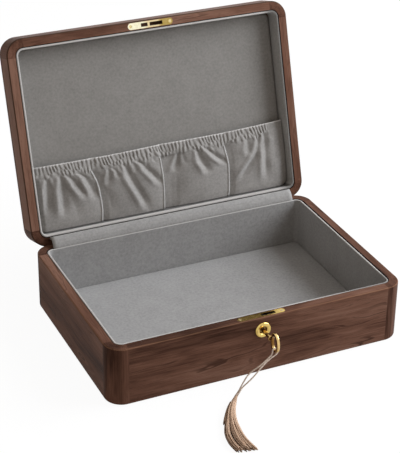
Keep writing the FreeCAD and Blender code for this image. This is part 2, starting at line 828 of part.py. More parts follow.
def pocket_knots(bulge):
    """Each compartment's places across the pocket, and how far the cloth stands off the panel there."""
    half_seam = size("seam_width") / 2
    ends = [-size("pocket_half_width")]
    for seam in (-size("seam_spacing"), 0, size("seam_spacing")):
        ends += [seam - half_seam, seam + half_seam]
    ends.append(size("pocket_half_width"))
    compartments = []
    for start, end in zip(ends[::2], ends[1::2]):
        shares = [fold / FOLDS_PER_COMPARTMENT for fold in range(FOLDS_PER_COMPARTMENT + 1)]
        compartments.append(
            [(start + share * (end - start), bulge * math.sin(math.pi * share)) for share in shares]
        )
    return compartments


def pocket_section(y, bulge, fold):
    def chain(lift):
        level = size("panel_face") - size("pocket_clear") - lift
        edges, last = [], None
        for compartment in pocket_knots(bulge):
            points = [Vector(x, y, level - stand) for x, stand in compartment]
            if last:
                edges.append(Part.makeLine(last, points[0]))
            for a, b in zip(points, points[1:]):
                crest = (a + b) / 2 - Vector(0, 0, fold)
                edges.append(Part.Arc(a, crest, b).toShape())
            last = points[-1]
        return edges, edges[0].Vertexes[0].Point, last

    inner, inner_start, inner_end = chain(0)
    outer, outer_start, outer_end = chain(size("pocket_cloth"))
    left = Part.makeLine(inner_start, outer_start)
    right = Part.makeLine(outer_end, inner_end)
    return Part.Wire([left, *outer, right, *reversed(inner)])


pocket_rows = [
    pocket_section(
        size("pocket_top_y") + row * (size("pocket_low_y") - size("pocket_top_y")),
        bulge * size("pocket_bulge"),
        fold * size("pocket_fold"),
    )
    for row, bulge, fold in zip(POCKET_ROW_SHARES, POCKET_BULGE_SHARES, POCKET_FOLD_SHARES)
]
keep("pocket_cloth", shaped("pocket_cloth", Part.makeLoft(pocket_rows, True, True)), lid=True)

seam_low = "panel_face - pocket_clear - pocket_cloth - seam_height"
seams = [
    block(
        f"pocket_seam_{number}",
        (f"{x} - seam_width / 2", f"{x} + seam_width / 2"),
        ("pocket_top_y + hem_height", "pocket_low_y"),
        (seam_low, "panel_face - pocket_clear - pocket_cloth"),
    )
    for number, x in enumerate(("-seam_spacing", "ground", "seam_spacing"))
]
keep("pocket_seam_tapes", group("pocket_seam_tapes", *seams), lid=True)

# Tassel on the key: a doubled string, a bound neck and a skirt of threads lying on the table


def bent_path(points):
    """A path of straight runs joined by tangent arcs, and the arcs' radii."""
    edges, radii = [], []
    start = points[0]
    for before, corner, after in zip(points, points[1:], points[2:]):
        into, out = corner - before, after - corner
        half_turn = into.getAngle(out) / 2
        reach = BEND_SHARE * min(into.Length, out.Length)
        into.normalize()
        out.normalize()
        first, last = corner - into * reach, corner + out * reach
        radius = reach / math.tan(half_turn)
        towards = out - into
        towards.normalize()
        middle = corner + towards * (radius / math.cos(half_turn) - radius)
        edges.append(Part.makeLine(start, first))
        edges.append(Part.Arc(first, middle, last).toShape())
        radii.append(radius)
        start = last
    edges.append(Part.makeLine(start, points[-1]))
    return Part.Wire(edges), radii


def tube(points, diameter):
    path, radii = bent_path(points)
    heading = points[1] - points[0]
    ring = Part.Wire([Part.makeCircle(diameter / 2, points[0], heading)])
    solid = path.makePipeShell([ring], True, False)
    share = solid.Volume / (math.pi * diameter ** 2 / 4 * path.Length)
    print(f"string: length {path.Length:.1f} mm, radii {', '.join(f'{r:.1f}' for r in radii)} mm")
    print(f"string: volume is {share:.4f} of section times length")
    return solid


string = tube([Vector(*point) for point in STRING_ROUTE], size("string_diameter"))
keep("tassel_string", shaped("tassel_string", string))


def lay(degrees):
    return Vector(math.cos(math.radians(degrees)), math.sin(math.radians(degrees)), 0)


string_ends = (Vector(*STRING_ROUTE[0]) + Vector(*STRING_ROUTE[-1])) / 2
neck_start = string_ends + lay(SKIRT_TURN_DEGREES[0]) * size("string_diameter") / 2
neck = Part.makeCone(
    size("neck_radius"), size("skirt_radius"), size("neck_length"), neck_start, lay(SKIRT_TURN_DEGREES[0])
)
keep("tassel_neck", shaped("tassel_neck", neck))


def skirt_sections():
    """Oval sections square to the skirt's lay, each from two arcs."""
    sections = []
    here = neck_start + lay(SKIRT_TURN_DEGREES[0]) * size("neck_length")
    travelled = 0
    for along, degrees, wide, high in zip(
        SKIRT_ALONG_SHARES, SKIRT_TURN_DEGREES, SKIRT_WIDTH_SHARES, SKIRT_HEIGHT_SHARES
    ):
        heading = lay(degrees)
        here = here + heading * (along - travelled) * size("skirt_length")
        travelled = along
        half_width = wide * size("skirt_width") / 2
        half_height = high * size("skirt_height") / 2
        centre = Vector(here.x, here.y, size("tassel_clear") + half_height)
        across = Vector(-heading.y, heading.x, 0) * half_width
        rise = Vector(0, 0, half_height)
        over = Part.Arc(centre - across, centre + rise, centre + across).toShape()
        under = Part.Arc(centre + across, centre - rise, centre - across).toShape()
        sections.append(Part.Wire([over, under]))
    return sections


keep("tassel_skirt", shaped("tassel_skirt", Part.makeLoft(skirt_sections(), True, False)))

# Every piece is checked before its file is written

doc.recompute()
for obj in doc.Objects:
    if {"Invalid", "Error"} & set(obj.State):
        raise RuntimeError(f"{obj.Label} is in state {obj.State}")
os.makedirs("parts", exist_ok=True)
for node, obj in PARTS.items():
    shape = obj.Shape
    if shape.isNull() or not shape.isValid() or not shape.Solids:
        raise RuntimeError(f"{node} has no valid solid")
    shape.exportStep(os.path.join("parts", f"{node}.step"))
print(f"{len(PARTS)} pieces written")
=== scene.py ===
import json
import math
import random

import bmesh
import bpy
import numpy as np
from mathutils import Matrix, Vector


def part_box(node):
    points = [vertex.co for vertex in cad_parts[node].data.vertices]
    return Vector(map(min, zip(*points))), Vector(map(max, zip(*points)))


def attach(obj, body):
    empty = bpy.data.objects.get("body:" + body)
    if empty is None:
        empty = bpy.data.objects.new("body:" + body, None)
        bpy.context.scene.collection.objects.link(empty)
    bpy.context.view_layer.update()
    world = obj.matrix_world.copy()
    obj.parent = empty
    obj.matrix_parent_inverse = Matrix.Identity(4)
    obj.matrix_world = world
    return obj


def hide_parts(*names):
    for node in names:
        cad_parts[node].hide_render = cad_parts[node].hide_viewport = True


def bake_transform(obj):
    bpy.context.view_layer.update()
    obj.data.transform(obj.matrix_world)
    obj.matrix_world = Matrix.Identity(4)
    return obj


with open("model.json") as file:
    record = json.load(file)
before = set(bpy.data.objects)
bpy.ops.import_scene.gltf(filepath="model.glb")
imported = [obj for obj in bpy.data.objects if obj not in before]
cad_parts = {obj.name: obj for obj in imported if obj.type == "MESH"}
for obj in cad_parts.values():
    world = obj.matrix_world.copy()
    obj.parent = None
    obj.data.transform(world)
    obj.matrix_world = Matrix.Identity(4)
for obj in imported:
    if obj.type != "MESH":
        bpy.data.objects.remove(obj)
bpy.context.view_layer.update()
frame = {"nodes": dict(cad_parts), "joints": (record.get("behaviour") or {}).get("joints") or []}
nodes = frame["nodes"]
joints = {joint["name"]: joint for joint in frame["joints"]}
scene = bpy.context.scene
MM = 0.001

# The lid is open at rest; its pieces are shaped as if it were closed, then swung open with it
hinge = Vector(joints["lid_hinge"]["pos_m"])
open_angle = math.radians(joints["lid_hinge"]["range_deg"][1])
OPENED = Matrix.Translation(hinge) @ Matrix.Rotation(-open_angle, 4, "X") @ Matrix.Translation(-hinge)
CLOSED = OPENED.inverted()


def closed_box(node):
    """Lowest and highest corner of a node of the lid, with the lid closed."""
    points = [CLOSED @ vertex.co for vertex in nodes[node].data.vertices]
    return Vector(map(min, zip(*points))), Vector(map(max, zip(*points)))


# Camera, placed by fitting the box's edges to the photograph
PHOTO_HEIGHT = 453
FOCAL_PIXELS = 1513.2
CAMERA_PLACE = (-0.5474, -1.1407, 0.7889)
CAMERA_YAW = math.radians(24.934)
CAMERA_PITCH = math.radians(28.499)
CAMERA_ROLL = math.radians(0.802)

lens = bpy.data.cameras.new("camera")
lens.lens = lens.sensor_width * FOCAL_PIXELS / PHOTO_HEIGHT
camera = bpy.data.objects.new("camera", lens)
camera.matrix_world = (
    Matrix.Translation(CAMERA_PLACE)
    @ Matrix.Rotation(-CAMERA_YAW, 4, "Z")
    @ Matrix.Rotation(math.pi / 2 - CAMERA_PITCH, 4, "X")
    @ Matrix.Rotation(CAMERA_ROLL, 4, "Z")
)
scene.collection.objects.link(camera)
scene.camera = camera
scene.view_settings.view_transform = "Standard"


# Node materials and short ways to add nodes to them


class Look:
    def __init__(self, name, **settings):
        self.material = bpy.data.materials.new(name)
        self.material.use_nodes = True
        self.tree = self.material.node_tree
        self.shader = self.tree.nodes["Principled BSDF"]
        self.give(self.shader, {key.replace("_", " "): value for key, value in settings.items()})

    def give(self, node, inputs):
        for key, value in inputs.items():
            if isinstance(value, bpy.types.NodeSocket):
                self.tree.links.new(value, node.inputs[key])
            else:
                node.inputs[key].default_value = value

    def add(self, kind, inputs, out=0, **properties):
        node = self.tree.nodes.new("ShaderNode" + kind)
        for key, value in properties.items():
            setattr(node, key, value)
        self.give(node, inputs)
        return node.outputs[out]

    def place(self, lid=False):
        """Where a point lies in the frame of the closed box."""
        here = self.add("TexCoord", {}, out="Object")
        if not lid:
            return here
        turn = {"Vector": here, "Center": hinge, "Angle": open_angle}
        return self.add("VectorRotate", turn, rotation_type="X_AXIS")

    def normal(self, lid=False):
        """Which way a surface faces in the frame of the closed box."""
        facing = self.add("TexCoord", {}, out="Normal")
        if not lid:
            return facing
        return self.add("VectorRotate", {"Vector": facing, "Angle": open_angle}, rotation_type="X_AXIS")

    def axis(self, vector, letter):
        return self.add("SeparateXYZ", {0: vector}, out=letter)

    def math(self, operation, *values):
        return self.add("Math", dict(enumerate(values)), operation=operation)

    def vector(self, operation, a, b, out=0):
        return self.add("VectorMath", {0: a, 1: b}, out=out, operation=operation)

    def noise(self, place, scale, detail=2.0, stretch=(1, 1, 1), roughness=0.5):
        stretched = self.vector("MULTIPLY", place, stretch)
        return self.add(
            "TexNoise", {"Vector": stretched, "Scale": scale, "Detail": detail, "Roughness": roughness}
        )

    def span(self, value, low, high, to_low=0.0, to_high=1.0):
        """A smooth step of a value from one span to another."""
        inputs = {"Value": value, "From Min": low, "From Max": high, "To Min": to_low, "To Max": to_high}
        return self.add("MapRange", inputs, interpolation_type="SMOOTHSTEP")

    def mix(self, share, a, b, blend="MIX"):
        return self.add("Mix", {0: share, 6: a, 7: b}, out=2, data_type="RGBA", blend_type=blend)

    def ramp(self, value, *stops):
        colours = self.tree.nodes.new("ShaderNodeValToRGB")
        self.tree.links.new(value, colours.inputs[0])
        elements = colours.color_ramp.elements
        while len(elements) < len(stops):
            elements.new(1.0)
        for element, (position, colour) in zip(elements, stops):
            element.position = position
            element.color = colour
        return colours.outputs[0]

    def bump(self, height, depth, strength=1.0):
        normal = self.add("Bump", {"Height": height, "Distance": depth, "Strength": strength})
        self.give(self.shader, {"Normal": normal})


def paint(look, *names):
    for name in names:
        for slot in nodes[name].material_slots:
            slot.material = look.material


# Stage: a pale floor, white surroundings that light warmly, a soft light from the right and one overhead
FLOOR_SIZE = 12.0
FLOOR_COLOUR = (0.7, 0.7, 0.7, 1)
FLOOR_ROUGHNESS = 0.9
FLOOR_WHITE_SHARE = 0.9
FLOOR_WHITE = 1.05
AMBIENT = 0.27
AMBIENT_COLOUR = (1.14, 1.0, 0.87, 1)
WHITE = (1, 1, 1, 1)
KEY_DIRECTION = Vector((1.4, -0.36, 0.92))
KEY_DISTANCE = 1.7
KEY_SIZE = 1.5
KEY_POWER = 40
KEY_COLOUR = (0.95, 1.0, 1.065)
TOP_HEIGHT = 2.0
TOP_SIZE = 2.4
TOP_POWER = 4
LIT_CENTRE = Vector((0, 0, 0.1))


def background_ray(tree):
    """One for a ray that shows the background, straight or in metal or glass, and zero for the rest."""
    path = tree.nodes.new("ShaderNodeLightPath")
    total = path.outputs["Is Camera Ray"]
    for kind in ("Is Glossy Ray", "Is Transmission Ray"):
        either = tree.nodes.new("ShaderNodeMath")
        either.operation = "MAXIMUM"
        tree.links.new(total, either.inputs[0])
        tree.links.new(path.outputs[kind], either.inputs[1])
        total = either.outputs[0]
    return total


def surroundings():
    world = bpy.data.worlds.new("surroundings")
    scene.world = world
    world.use_nodes = True
    tree = world.node_tree
    background = tree.nodes["Background"]
    seen = background_ray(tree)
    strength = tree.nodes.new("ShaderNodeMapRange")
    strength.inputs["To Min"].default_value = AMBIENT
    tree.links.new(seen, strength.inputs["Value"])
    tree.links.new(strength.outputs[0], background.inputs["Strength"])
    colour = tree.nodes.new("ShaderNodeMixRGB")
    colour.inputs[1].default_value = AMBIENT_COLOUR
    colour.inputs[2].default_value = WHITE
    tree.links.new(seen, colour.inputs[0])
    tree.links.new(colour.outputs[0], background.inputs["Color"])


def floor():
    half = FLOOR_SIZE / 2
    mesh = bpy.data.meshes.new("floor")
    corners = [(-half, -half, 0), (half, -half, 0), (half, half, 0), (-half, half, 0)]
    mesh.from_pydata(corners, [], [(0, 1, 2, 3)])
    plane = bpy.data.objects.new("floor", mesh)
    scene.collection.objects.link(plane)
    look = Look("floor", Base_Color=FLOOR_COLOUR, Roughness=FLOOR_ROUGHNESS)
    tree = look.tree
    white = tree.nodes.new("ShaderNodeEmission")
    white.inputs["Strength"].default_value = FLOOR_WHITE
    either = tree.nodes.new("ShaderNodeMixShader")
    share = look.math("MULTIPLY", background_ray(tree), FLOOR_WHITE_SHARE)
    tree.links.new(share, either.inputs[0])
    tree.links.new(look.shader.outputs[0], either.inputs[1])
    tree.links.new(white.outputs[0], either.inputs[2])
    tree.links.new(either.outputs[0], tree.nodes["Material Output"].inputs["Surface"])
    mesh.materials.append(look.material)


def lamp(name, place, size, power, colour=WHITE[:3]):
    light = bpy.data.lights.new(name, "AREA")
    light.shape = "DISK"
    light.size = size
    light.energy = power
    light.color = colour
    holder = bpy.data.objects.new(name, light)
    holder.location = place
    holder.rotation_euler = (LIT_CENTRE - place).to_track_quat("-Z", "Y").to_euler()
    scene.collection.objects.link(holder)


surroundings()
floor()
key_place = LIT_CENTRE + KEY_DIRECTION.normalized() * KEY_DISTANCE
lamp("key_light", key_place, KEY_SIZE, KEY_POWER, KEY_COLOUR)
lamp("top_light", Vector((0, 0, TOP_HEIGHT)), TOP_SIZE, TOP_POWER)

# Walnut: growth rings round a distant pith, colour zones, dark veins, fibres, pores, paler rims and edges
# with painted highlight and shade
WALNUT_DARK = (0.042, 0.0185, 0.012, 1)
WALNUT_MID = (0.150, 0.072, 0.048, 1)
WALNUT_LIGHT = (0.250, 0.135, 0.095, 1)
WALNUT_EDGE_WEAR_AND_HIGHLIGHT = (0.30, 0.16, 0.095, 1)
WALNUT_GAP_SHADOW = (0.012, 0.007, 0.005, 1)
WALNUT_ARRIS_SHADE = (0.045, 0.03, 0.022, 1)
RING_SPACING = 7 * MM
PITH = (0, -52 * MM, -38 * MM)
# Layers of noise: scale, detail, stretch with the grain first, and roughness
WALNUT_NOISE = {
    "zones": (30, 3, (0.22, 1, 1), 0.55),
    "sway": (70, 2, (0.22, 1, 1), 0.5),
    "fibres": (1100, 3, (0.02, 1, 1), 0.6),
    "streaks": (760, 2, (0.05, 1, 1), 0.6),
    "pores": (2600, 1, (0.04, 1, 1), 0.5),
    "flecks": (520, 2, (0.1, 1, 1), 0.5),
}
BOARD_STEP = (0.37, 0.011, 0.007)
# How far the zones and the sway bend the rings, in rings
ZONE_BEND = 6.0
SWAY_BEND = 2.2
# The tone's level and how much each layer adds to it
TONE_LEVEL = 0.075
ZONE_TONE = 0.85
RING_TONE = 0.03
FIBRE_TONE = 0.34
STREAK_TONE = 0.18
TONE_STOPS = ((0.28, WALNUT_DARK), (0.5, WALNUT_MID), (0.72, WALNUT_LIGHT))
# Where the layers make veins, pores and flecks, and how dark these are
VEIN_RINGS = (0.8, 1.0)
VEIN_SWAY = (0.45, 0.7)
VEIN_DARK = 0.75
PORE_SPAN = (0.62, 0.7)
PORE_DARK = 0.45
FLECK_SPAN = (0.56, 0.7)
FLECK_DARK = 0.27
# How far a rounded edge turns paler, partly with wear and partly as a painted highlight, less so between
# fibres, and how far it takes painted shade on the lid's outer side
EDGE_WEAR_AND_HIGHLIGHT = (0.05, 0.25, 0, 0.55)
EDGE_FIBRES = (0.35, 0.6, 0.4, 1)
ARRIS_SHADE_SPAN = (0.05, 0.2, 0, 0.85)
ARRIS_SHADE_FACING = (-0.1, -0.3)
WALNUT_ROUGHNESS = (0.3, 0.7, 0.42, 0.56)
PORE_HEIGHT = -0.6
GRAIN_DEPTH = 0.15 * MM
GRAIN_STRENGTH = 0.5
# The corners' radius and centre, and where the painted shadow line beside the lining lies inside the outline
CORNER_RADIUS = 17 * MM
half_width, half_depth = -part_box("base_left_rail")[0].x, -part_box("base_front_rail")[0].y
CORNER_CENTRE = (half_width - CORNER_RADIUS, half_depth - CORNER_RADIUS, 1)
GAP_SHADOW_LINE = (8.5 * MM, 8.9 * MM)
RIGHT_GAP_SHADOW_LINE = (7.8 * MM, 8.6 * MM)
GRAIN_ORDER = {"x": "XYZ", "y": "YZX", "z": "ZXY"}


def walnut(name, along, seed, lid=False, tone_shift=0.0, gap_shadow=GAP_SHADOW_LINE, veined=1.0, drift=0.0):
    """Walnut with its grain along an axis, whose tone can drift along it, by so much in a metre."""
    look = Look(name, Specular_IOR_Level=0.01, Sheen_Weight=0.12, Sheen_Roughness=0.35)
    order = [look.axis(look.place(lid), axis) for axis in GRAIN_ORDER[along]]
    board = look.add("CombineXYZ", dict(enumerate(order)))
    place = look.vector("ADD", board, [seed * step for step in BOARD_STEP])
    layer = {key: look.noise(place, *row) for key, row in WALNUT_NOISE.items()}

    across = look.vector("MULTIPLY", board, (0, 1, 1))
    turns = look.math("DIVIDE", look.vector("DISTANCE", across, PITH, out="Value"), RING_SPACING)
    turns = look.math("MULTIPLY_ADD", layer["zones"], ZONE_BEND, turns)
    turns = look.math("MULTIPLY_ADD", layer["sway"], SWAY_BEND, turns)
    rings = look.math("SINE", look.math("MULTIPLY", turns, 2 * math.pi))
    tone = look.math("MULTIPLY_ADD", layer["zones"], ZONE_TONE, TONE_LEVEL + tone_shift)
    tone = look.math("MULTIPLY_ADD", rings, RING_TONE, tone)
    for key, strength in (("fibres", FIBRE_TONE), ("streaks", STREAK_TONE * veined)):
        tone = look.math("MULTIPLY_ADD", look.math("SUBTRACT", layer[key], 0.5), strength, tone)
    tone = look.math("MULTIPLY_ADD", order[0], drift, tone)
    colour = look.ramp(tone, *TONE_STOPS)

    veins = look.math("MULTIPLY", look.span(rings, *VEIN_RINGS), look.span(layer["sway"], *VEIN_SWAY))
    pores = look.span(layer["pores"], *PORE_SPAN)
    flecks = look.span(layer["flecks"], *FLECK_SPAN)
    marks = look.math("MULTIPLY", veins, VEIN_DARK * veined)
    for kind, strength in ((pores, PORE_DARK), (flecks, FLECK_DARK * veined)):
        marks = look.math("MAXIMUM", marks, look.math("MULTIPLY", kind, strength))
    colour = look.mix(marks, colour, WALNUT_DARK)
    # Rounded edges turn paler: partly wear, partly a painted highlight
    up = look.axis(look.normal(lid), "Z")
    up_squared = look.math("MULTIPLY", up, up)
    edge = look.math("MULTIPLY", up_squared, look.math("SUBTRACT", 1.0, up_squared))
    wear_and_highlight = look.math("MULTIPLY", look.span(edge, *EDGE_WEAR_AND_HIGHLIGHT), look.span(layer["fibres"], *EDGE_FIBRES))
    colour = look.mix(wear_and_highlight, colour, WALNUT_EDGE_WEAR_AND_HIGHLIGHT)
    # Painted shade on the lid's rounded edges that face down when it is closed, between its rim and outer
    # side
    if lid:
        arris_shade = look.math("MULTIPLY", look.span(edge, *ARRIS_SHADE_SPAN), look.span(up, *ARRIS_SHADE_FACING))
        colour = look.mix(arris_shade, colour, WALNUT_ARRIS_SHADE)
    # Painted shadow: a dark line on the rim beside the lining, where the gap between them lies in shade
    if gap_shadow:
        beyond = look.vector("SUBTRACT", look.vector("ABSOLUTE", look.place(lid), (0, 0, 0)), CORNER_CENTRE)
        beyond = look.vector("MULTIPLY", look.vector("MAXIMUM", beyond, (0, 0, 0)), (1, 1, 0))
        inside = look.math("SUBTRACT", CORNER_RADIUS, look.vector("LENGTH", beyond, (0, 0, 0), out="Value"))
        colour = look.mix(look.span(inside, *gap_shadow), colour, WALNUT_GAP_SHADOW)
    rough = look.span(layer["fibres"], *WALNUT_ROUGHNESS)
    look.give(look.shader, {"Base Color": colour, "Roughness": rough})
    height = look.math("MULTIPLY_ADD", pores, PORE_HEIGHT, layer["fibres"])
    look.bump(height, GRAIN_DEPTH, GRAIN_STRENGTH)
    return look


POST_TONE = {"front_left": -0.09, "front_right": -0.02, "back_left": -0.08, "back_right": -0.06}
RAIL_TONE = {
    "base": {"front": -0.015, "back": 0, "left": 0.03, "right": -0.03},
    "lid": {"front": 0.06, "back": 0.06, "left": 0.2, "right": 0.04},
}
# The front rails' tone drifts lighter towards their right: a painted gradient of the light that comes from
# the right
RAIL_LIGHT_DRIFT = {"front": 0.35, "back": 0, "left": 0, "right": 0}
POST_VEINS = 0.3
RAIL_GRAIN = {"front": "x", "back": "x", "left": "y", "right": "y"}
FIRST_BOARD = 31


def wooden_parts():
    seed = FIRST_BOARD
    for half in ("base", "lid"):
        for side, along in RAIL_GRAIN.items():
            node = f"{half}_{side}_rail"
            tone = RAIL_TONE[half][side]
            # The right rail's painted shadow line is wider
            gap_shadow = RIGHT_GAP_SHADOW_LINE if node == "base_right_rail" else GAP_SHADOW_LINE
            paint(walnut(node, along, seed, half == "lid", tone, gap_shadow, drift=RAIL_LIGHT_DRIFT[side]), node)
            seed += 1
        for corner, tone in POST_TONE.items():
            node = f"{half}_corner_{corner}"
            paint(walnut(node, "z", seed, half == "lid", tone, veined=POST_VEINS), node)
            seed += 1
    paint(walnut("lid_top_panel", "x", seed, True, gap_shadow=None), "lid_top_panel")
    paint(walnut("base_bottom_panel", "x", seed + 1, gap_shadow=None), "base_bottom_panel")


wooden_parts()

# Brushed lining cloth: soft mottling, a fine nap and a pale sheen
LINING = (0.335, 0.329, 0.324, 1)
# The lid's lining is a darker copy of the base's cloth, a painted shade; its wall's is a lighter copy,
# painted light
LID_LINING_SHADED = (0.253, 0.241, 0.226, 1)
LID_WALL_LINING_LIT = (0.37, 0.36, 0.345, 1)
POCKET_LINING = (0.295, 0.281, 0.267, 1)
# A painted highlight on the top edges of the linings
RIM_HIGHLIGHT = (0.52, 0.5, 0.48, 1)
PIPING = (0.43, 0.422, 0.412, 1)
# A painted highlight along the hem's rolled edge, a lighter copy of the pocket's cloth
HEM_EDGE_HIGHLIGHT = (0.52, 0.502, 0.485, 1)
# The lid lining's wall below the pocket: a painted highlight near its edge, painted shade further in, where
# the pocket shades it
LEDGE_SHADE = (0.11, 0.105, 0.1, 1)
LEDGE_DEEP = (4.0 * MM, 5.5 * MM)
LEDGE_FACING = (-0.5, -0.9)
# Where a lining edge's painted highlight gives way to painted shade: at the lid's right and the right of the
# base's front
LID_RIM_SHADE_SPAN = (120 * MM, 134 * MM)
BASE_RIM_SHADE_SPAN = (52 * MM, 108 * MM)
BASE_RIM_SHADE_FRONT = (-66 * MM, -84 * MM)
BASE_RIM_SHADE_SHARE = 0.7
RIM_SHADED = (0.19, 0.182, 0.172, 1)
RIM_HIGHLIGHT_FACING = (0.3, 0.8)
# Layers of noise: scale, detail and stretch, and how much each adds to the tone
SUEDE_NOISE = {"brushed": (45, 3, (1, 1, 0.5)), "mottled": (420, 3), "nap": (3200, 2)}
SUEDE_TONE = {"brushed": 0.2, "mottled": 0.45, "nap": 0.4}
# Where the tone is dark, middling and light, and those shades as shares of the colour
SUEDE_STOPS = (0.36, 0.525, 0.69)
SUEDE_SHADES = (0.8, 1, 1.18)
MOTTLE_HEIGHT = 0.5
NAP_DEPTH = 0.12 * MM
NAP_STRENGTH = 0.6


def suede(name, colour, lid=False, painted_rim=False, sheen=0.08, ledge_shade=None):
    look = Look(name, Roughness=0.92, Specular_IOR_Level=0.15, Sheen_Weight=sheen, Sheen_Roughness=0.5)
    place = look.place(lid)
    layer = {key: look.noise(place, *row) for key, row in SUEDE_NOISE.items()}
    tone = 0.0
    for key, strength in SUEDE_TONE.items():
        tone = look.math("MULTIPLY_ADD", layer[key], strength, tone)
    shades = [[share * channel for channel in colour[:3]] + [1] for share in SUEDE_SHADES]
    shade = look.ramp(tone, *zip(SUEDE_STOPS, shades))
    # Painted highlight on a lining's top edge, giving way to painted shade at the right
    if painted_rim:
        up = look.axis(look.normal(lid), "Z")
        pale = look.span(look.math("MULTIPLY", up, up), *RIM_HIGHLIGHT_FACING)
        if lid:
            painted_shade = look.span(look.axis(place, "X"), *LID_RIM_SHADE_SPAN)
        else:
            painted_shade = look.span(look.axis(place, "X"), *BASE_RIM_SHADE_SPAN, 0, BASE_RIM_SHADE_SHARE)
            painted_shade = look.math("MULTIPLY", painted_shade, look.span(look.axis(place, "Y"), *BASE_RIM_SHADE_FRONT))
        rim = look.mix(painted_shade, RIM_HIGHLIGHT, RIM_SHADED)
        shade = look.mix(pale, shade, rim)
    # Painted shade on the lid lining's wall below the pocket, with the painted highlight near its edge
    if ledge_shade:
        inward = look.axis(look.normal(lid), "Y")
        edge = closed_box("lid_liner_wall")[0].z
        deep = look.span(look.axis(place, "Z"), edge + LEDGE_DEEP[0], edge + LEDGE_DEEP[1])
        shade = look.mix(look.span(inward, *LEDGE_FACING), shade, look.mix(deep, rim, ledge_shade))
    look.give(look.shader, {"Base Color": shade})
    height = look.math("MULTIPLY_ADD", layer["mottled"], MOTTLE_HEIGHT, layer["nap"])
    look.bump(height, NAP_DEPTH, NAP_STRENGTH)
    return look


base_lining = suede("base_lining", LINING)
lid_lining_shaded = suede("lid_lining_shaded", LID_LINING_SHADED, lid=True)
piping_cloth = suede("piping_cloth", PIPING, lid=True)
hem_highlight_cloth = suede("hem_highlight_cloth", HEM_EDGE_HIGHLIGHT, lid=True)
pocket_lining = suede("pocket_lining", POCKET_LINING, lid=True, sheen=0.25)
paint(suede("base_wall_lining_painted", LINING, painted_rim=True), "base_liner_wall")
lid_wall_painted = suede("lid_wall_lining_painted", LID_WALL_LINING_LIT, lid=True, painted_rim=True, ledge_shade=LEDGE_SHADE)
paint(lid_wall_painted, "lid_liner_wall")


# Meshes


def piece(name, vertices, faces, look, body):
    mesh = bpy.data.meshes.new(name)
    mesh.from_pydata([tuple(vertex) for vertex in vertices], [], faces)
    mesh.materials.append(look.material)
    mesh.polygons.foreach_set("use_smooth", [True] * len(mesh.polygons))
    tidy = bmesh.new()
    tidy.from_mesh(mesh)
    bmesh.ops.recalc_face_normals(tidy, faces=tidy.faces)
    tidy.to_mesh(mesh)
    tidy.free()
    thing = bpy.data.objects.new(name, mesh)
    scene.collection.objects.link(thing)
    if body:
        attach(thing, body)
    return thing


def grid_faces(rows, columns, round_columns=False):
    faces = []
    for row in range(rows - 1):
        for column in range(columns if round_columns else columns - 1):
            after = (column + 1) % columns
            low, high = row * columns, (row + 1) * columns
            faces.append((low + column, low + after, high + after, high + column))
    return faces


def smooth_step(value):
    value = np.clip(value, 0, 1)
    return value * value * (3 - 2 * value)


# Padded boards: the floor of the base and the inside of the lid
PAD_STEPS = np.array((0, 0.15, 0.4, 0.8, 1.4, 2.2, 3.2, 5)) * MM
PAD_CELL = 12 * MM
PAD_CROWN = 0.5 * MM
TINY = 1e-9


def pad_lines(half):
    """Grid lines across a pad, close together along its edges."""
    inner = half - PAD_STEPS[-1]
    middle = np.linspace(-inner, inner, max(2, round(2 * inner / PAD_CELL)))
    return np.concatenate([PAD_STEPS[:-1] - half, middle, (half - PAD_STEPS[:-1])[::-1]])


def pad(name, low, high, corner, edge, look, body, faces_up):
    """A board with rounded corners and edges, faintly crowned, whose face stands where the node's does."""
    centre = (low + high) / 2
    half_x, half_y = (high - low).xy / 2
    face, back = (high.z, low.z) if faces_up else (low.z, high.z)
    inward = 1 if faces_up else -1
    xs, ys = pad_lines(half_x), pad_lines(half_y)
    x, y = np.meshgrid(xs, ys)
    past_x = np.clip(np.abs(x) - (half_x - corner), 0, None)
    past_y = np.clip(np.abs(y) - (half_y - corner), 0, None)
    longest = np.maximum(past_x, past_y)
    reach = np.hypot(past_x, past_y)
    pull = np.where(reach > 0, longest / np.maximum(reach, TINY), 1)
    round_x = np.where(past_x > 0, np.sign(x) * (half_x - corner + past_x * pull), x)
    round_y = np.where(past_y > 0, np.sign(y) * (half_y - corner + past_y * pull), y)
    inset = np.where(
        (past_x > 0) & (past_y > 0), corner - longest, np.minimum(half_x - np.abs(x), half_y - np.abs(y))
    )
    lip = np.clip(edge - inset, 0, edge)
    drop = edge - np.sqrt(edge ** 2 - lip ** 2)
    drop += PAD_CROWN * (1 - (1 - (x / half_x) ** 2) * (1 - (y / half_y) ** 2))
    top = np.stack([round_x + centre.x, round_y + centre.y, face - inward * drop], axis=-1)
    rows, columns = x.shape
    vertices = [Vector(point) for point in top.reshape(-1, 3)]
    faces = grid_faces(rows, columns)
    rim = list(range(columns))
    rim += [row * columns + columns - 1 for row in range(1, rows)]
    rim += [(rows - 1) * columns + column for column in range(columns - 2, -1, -1)]
    rim += [row * columns for row in range(rows - 2, 0, -1)]
    first = len(vertices)
    vertices += [Vector((vertices[number].x, vertices[number].y, back)) for number in rim]
    for number, here in enumerate(rim):
        after = (number + 1) % len(rim)
        faces.append((here, rim[after], first + after, first + number))
    faces.append(tuple(range(first, first + len(rim))))
    if not faces_up:
        vertices = [OPENED @ vertex for vertex in vertices]
    board = piece(name, vertices, faces, look, body)
    return board


FLOOR_CORNER = 5 * MM
FLOOR_EDGE = 1.2 * MM
PANEL_CORNER = 8 * MM
PANEL_EDGE = 2.4 * MM

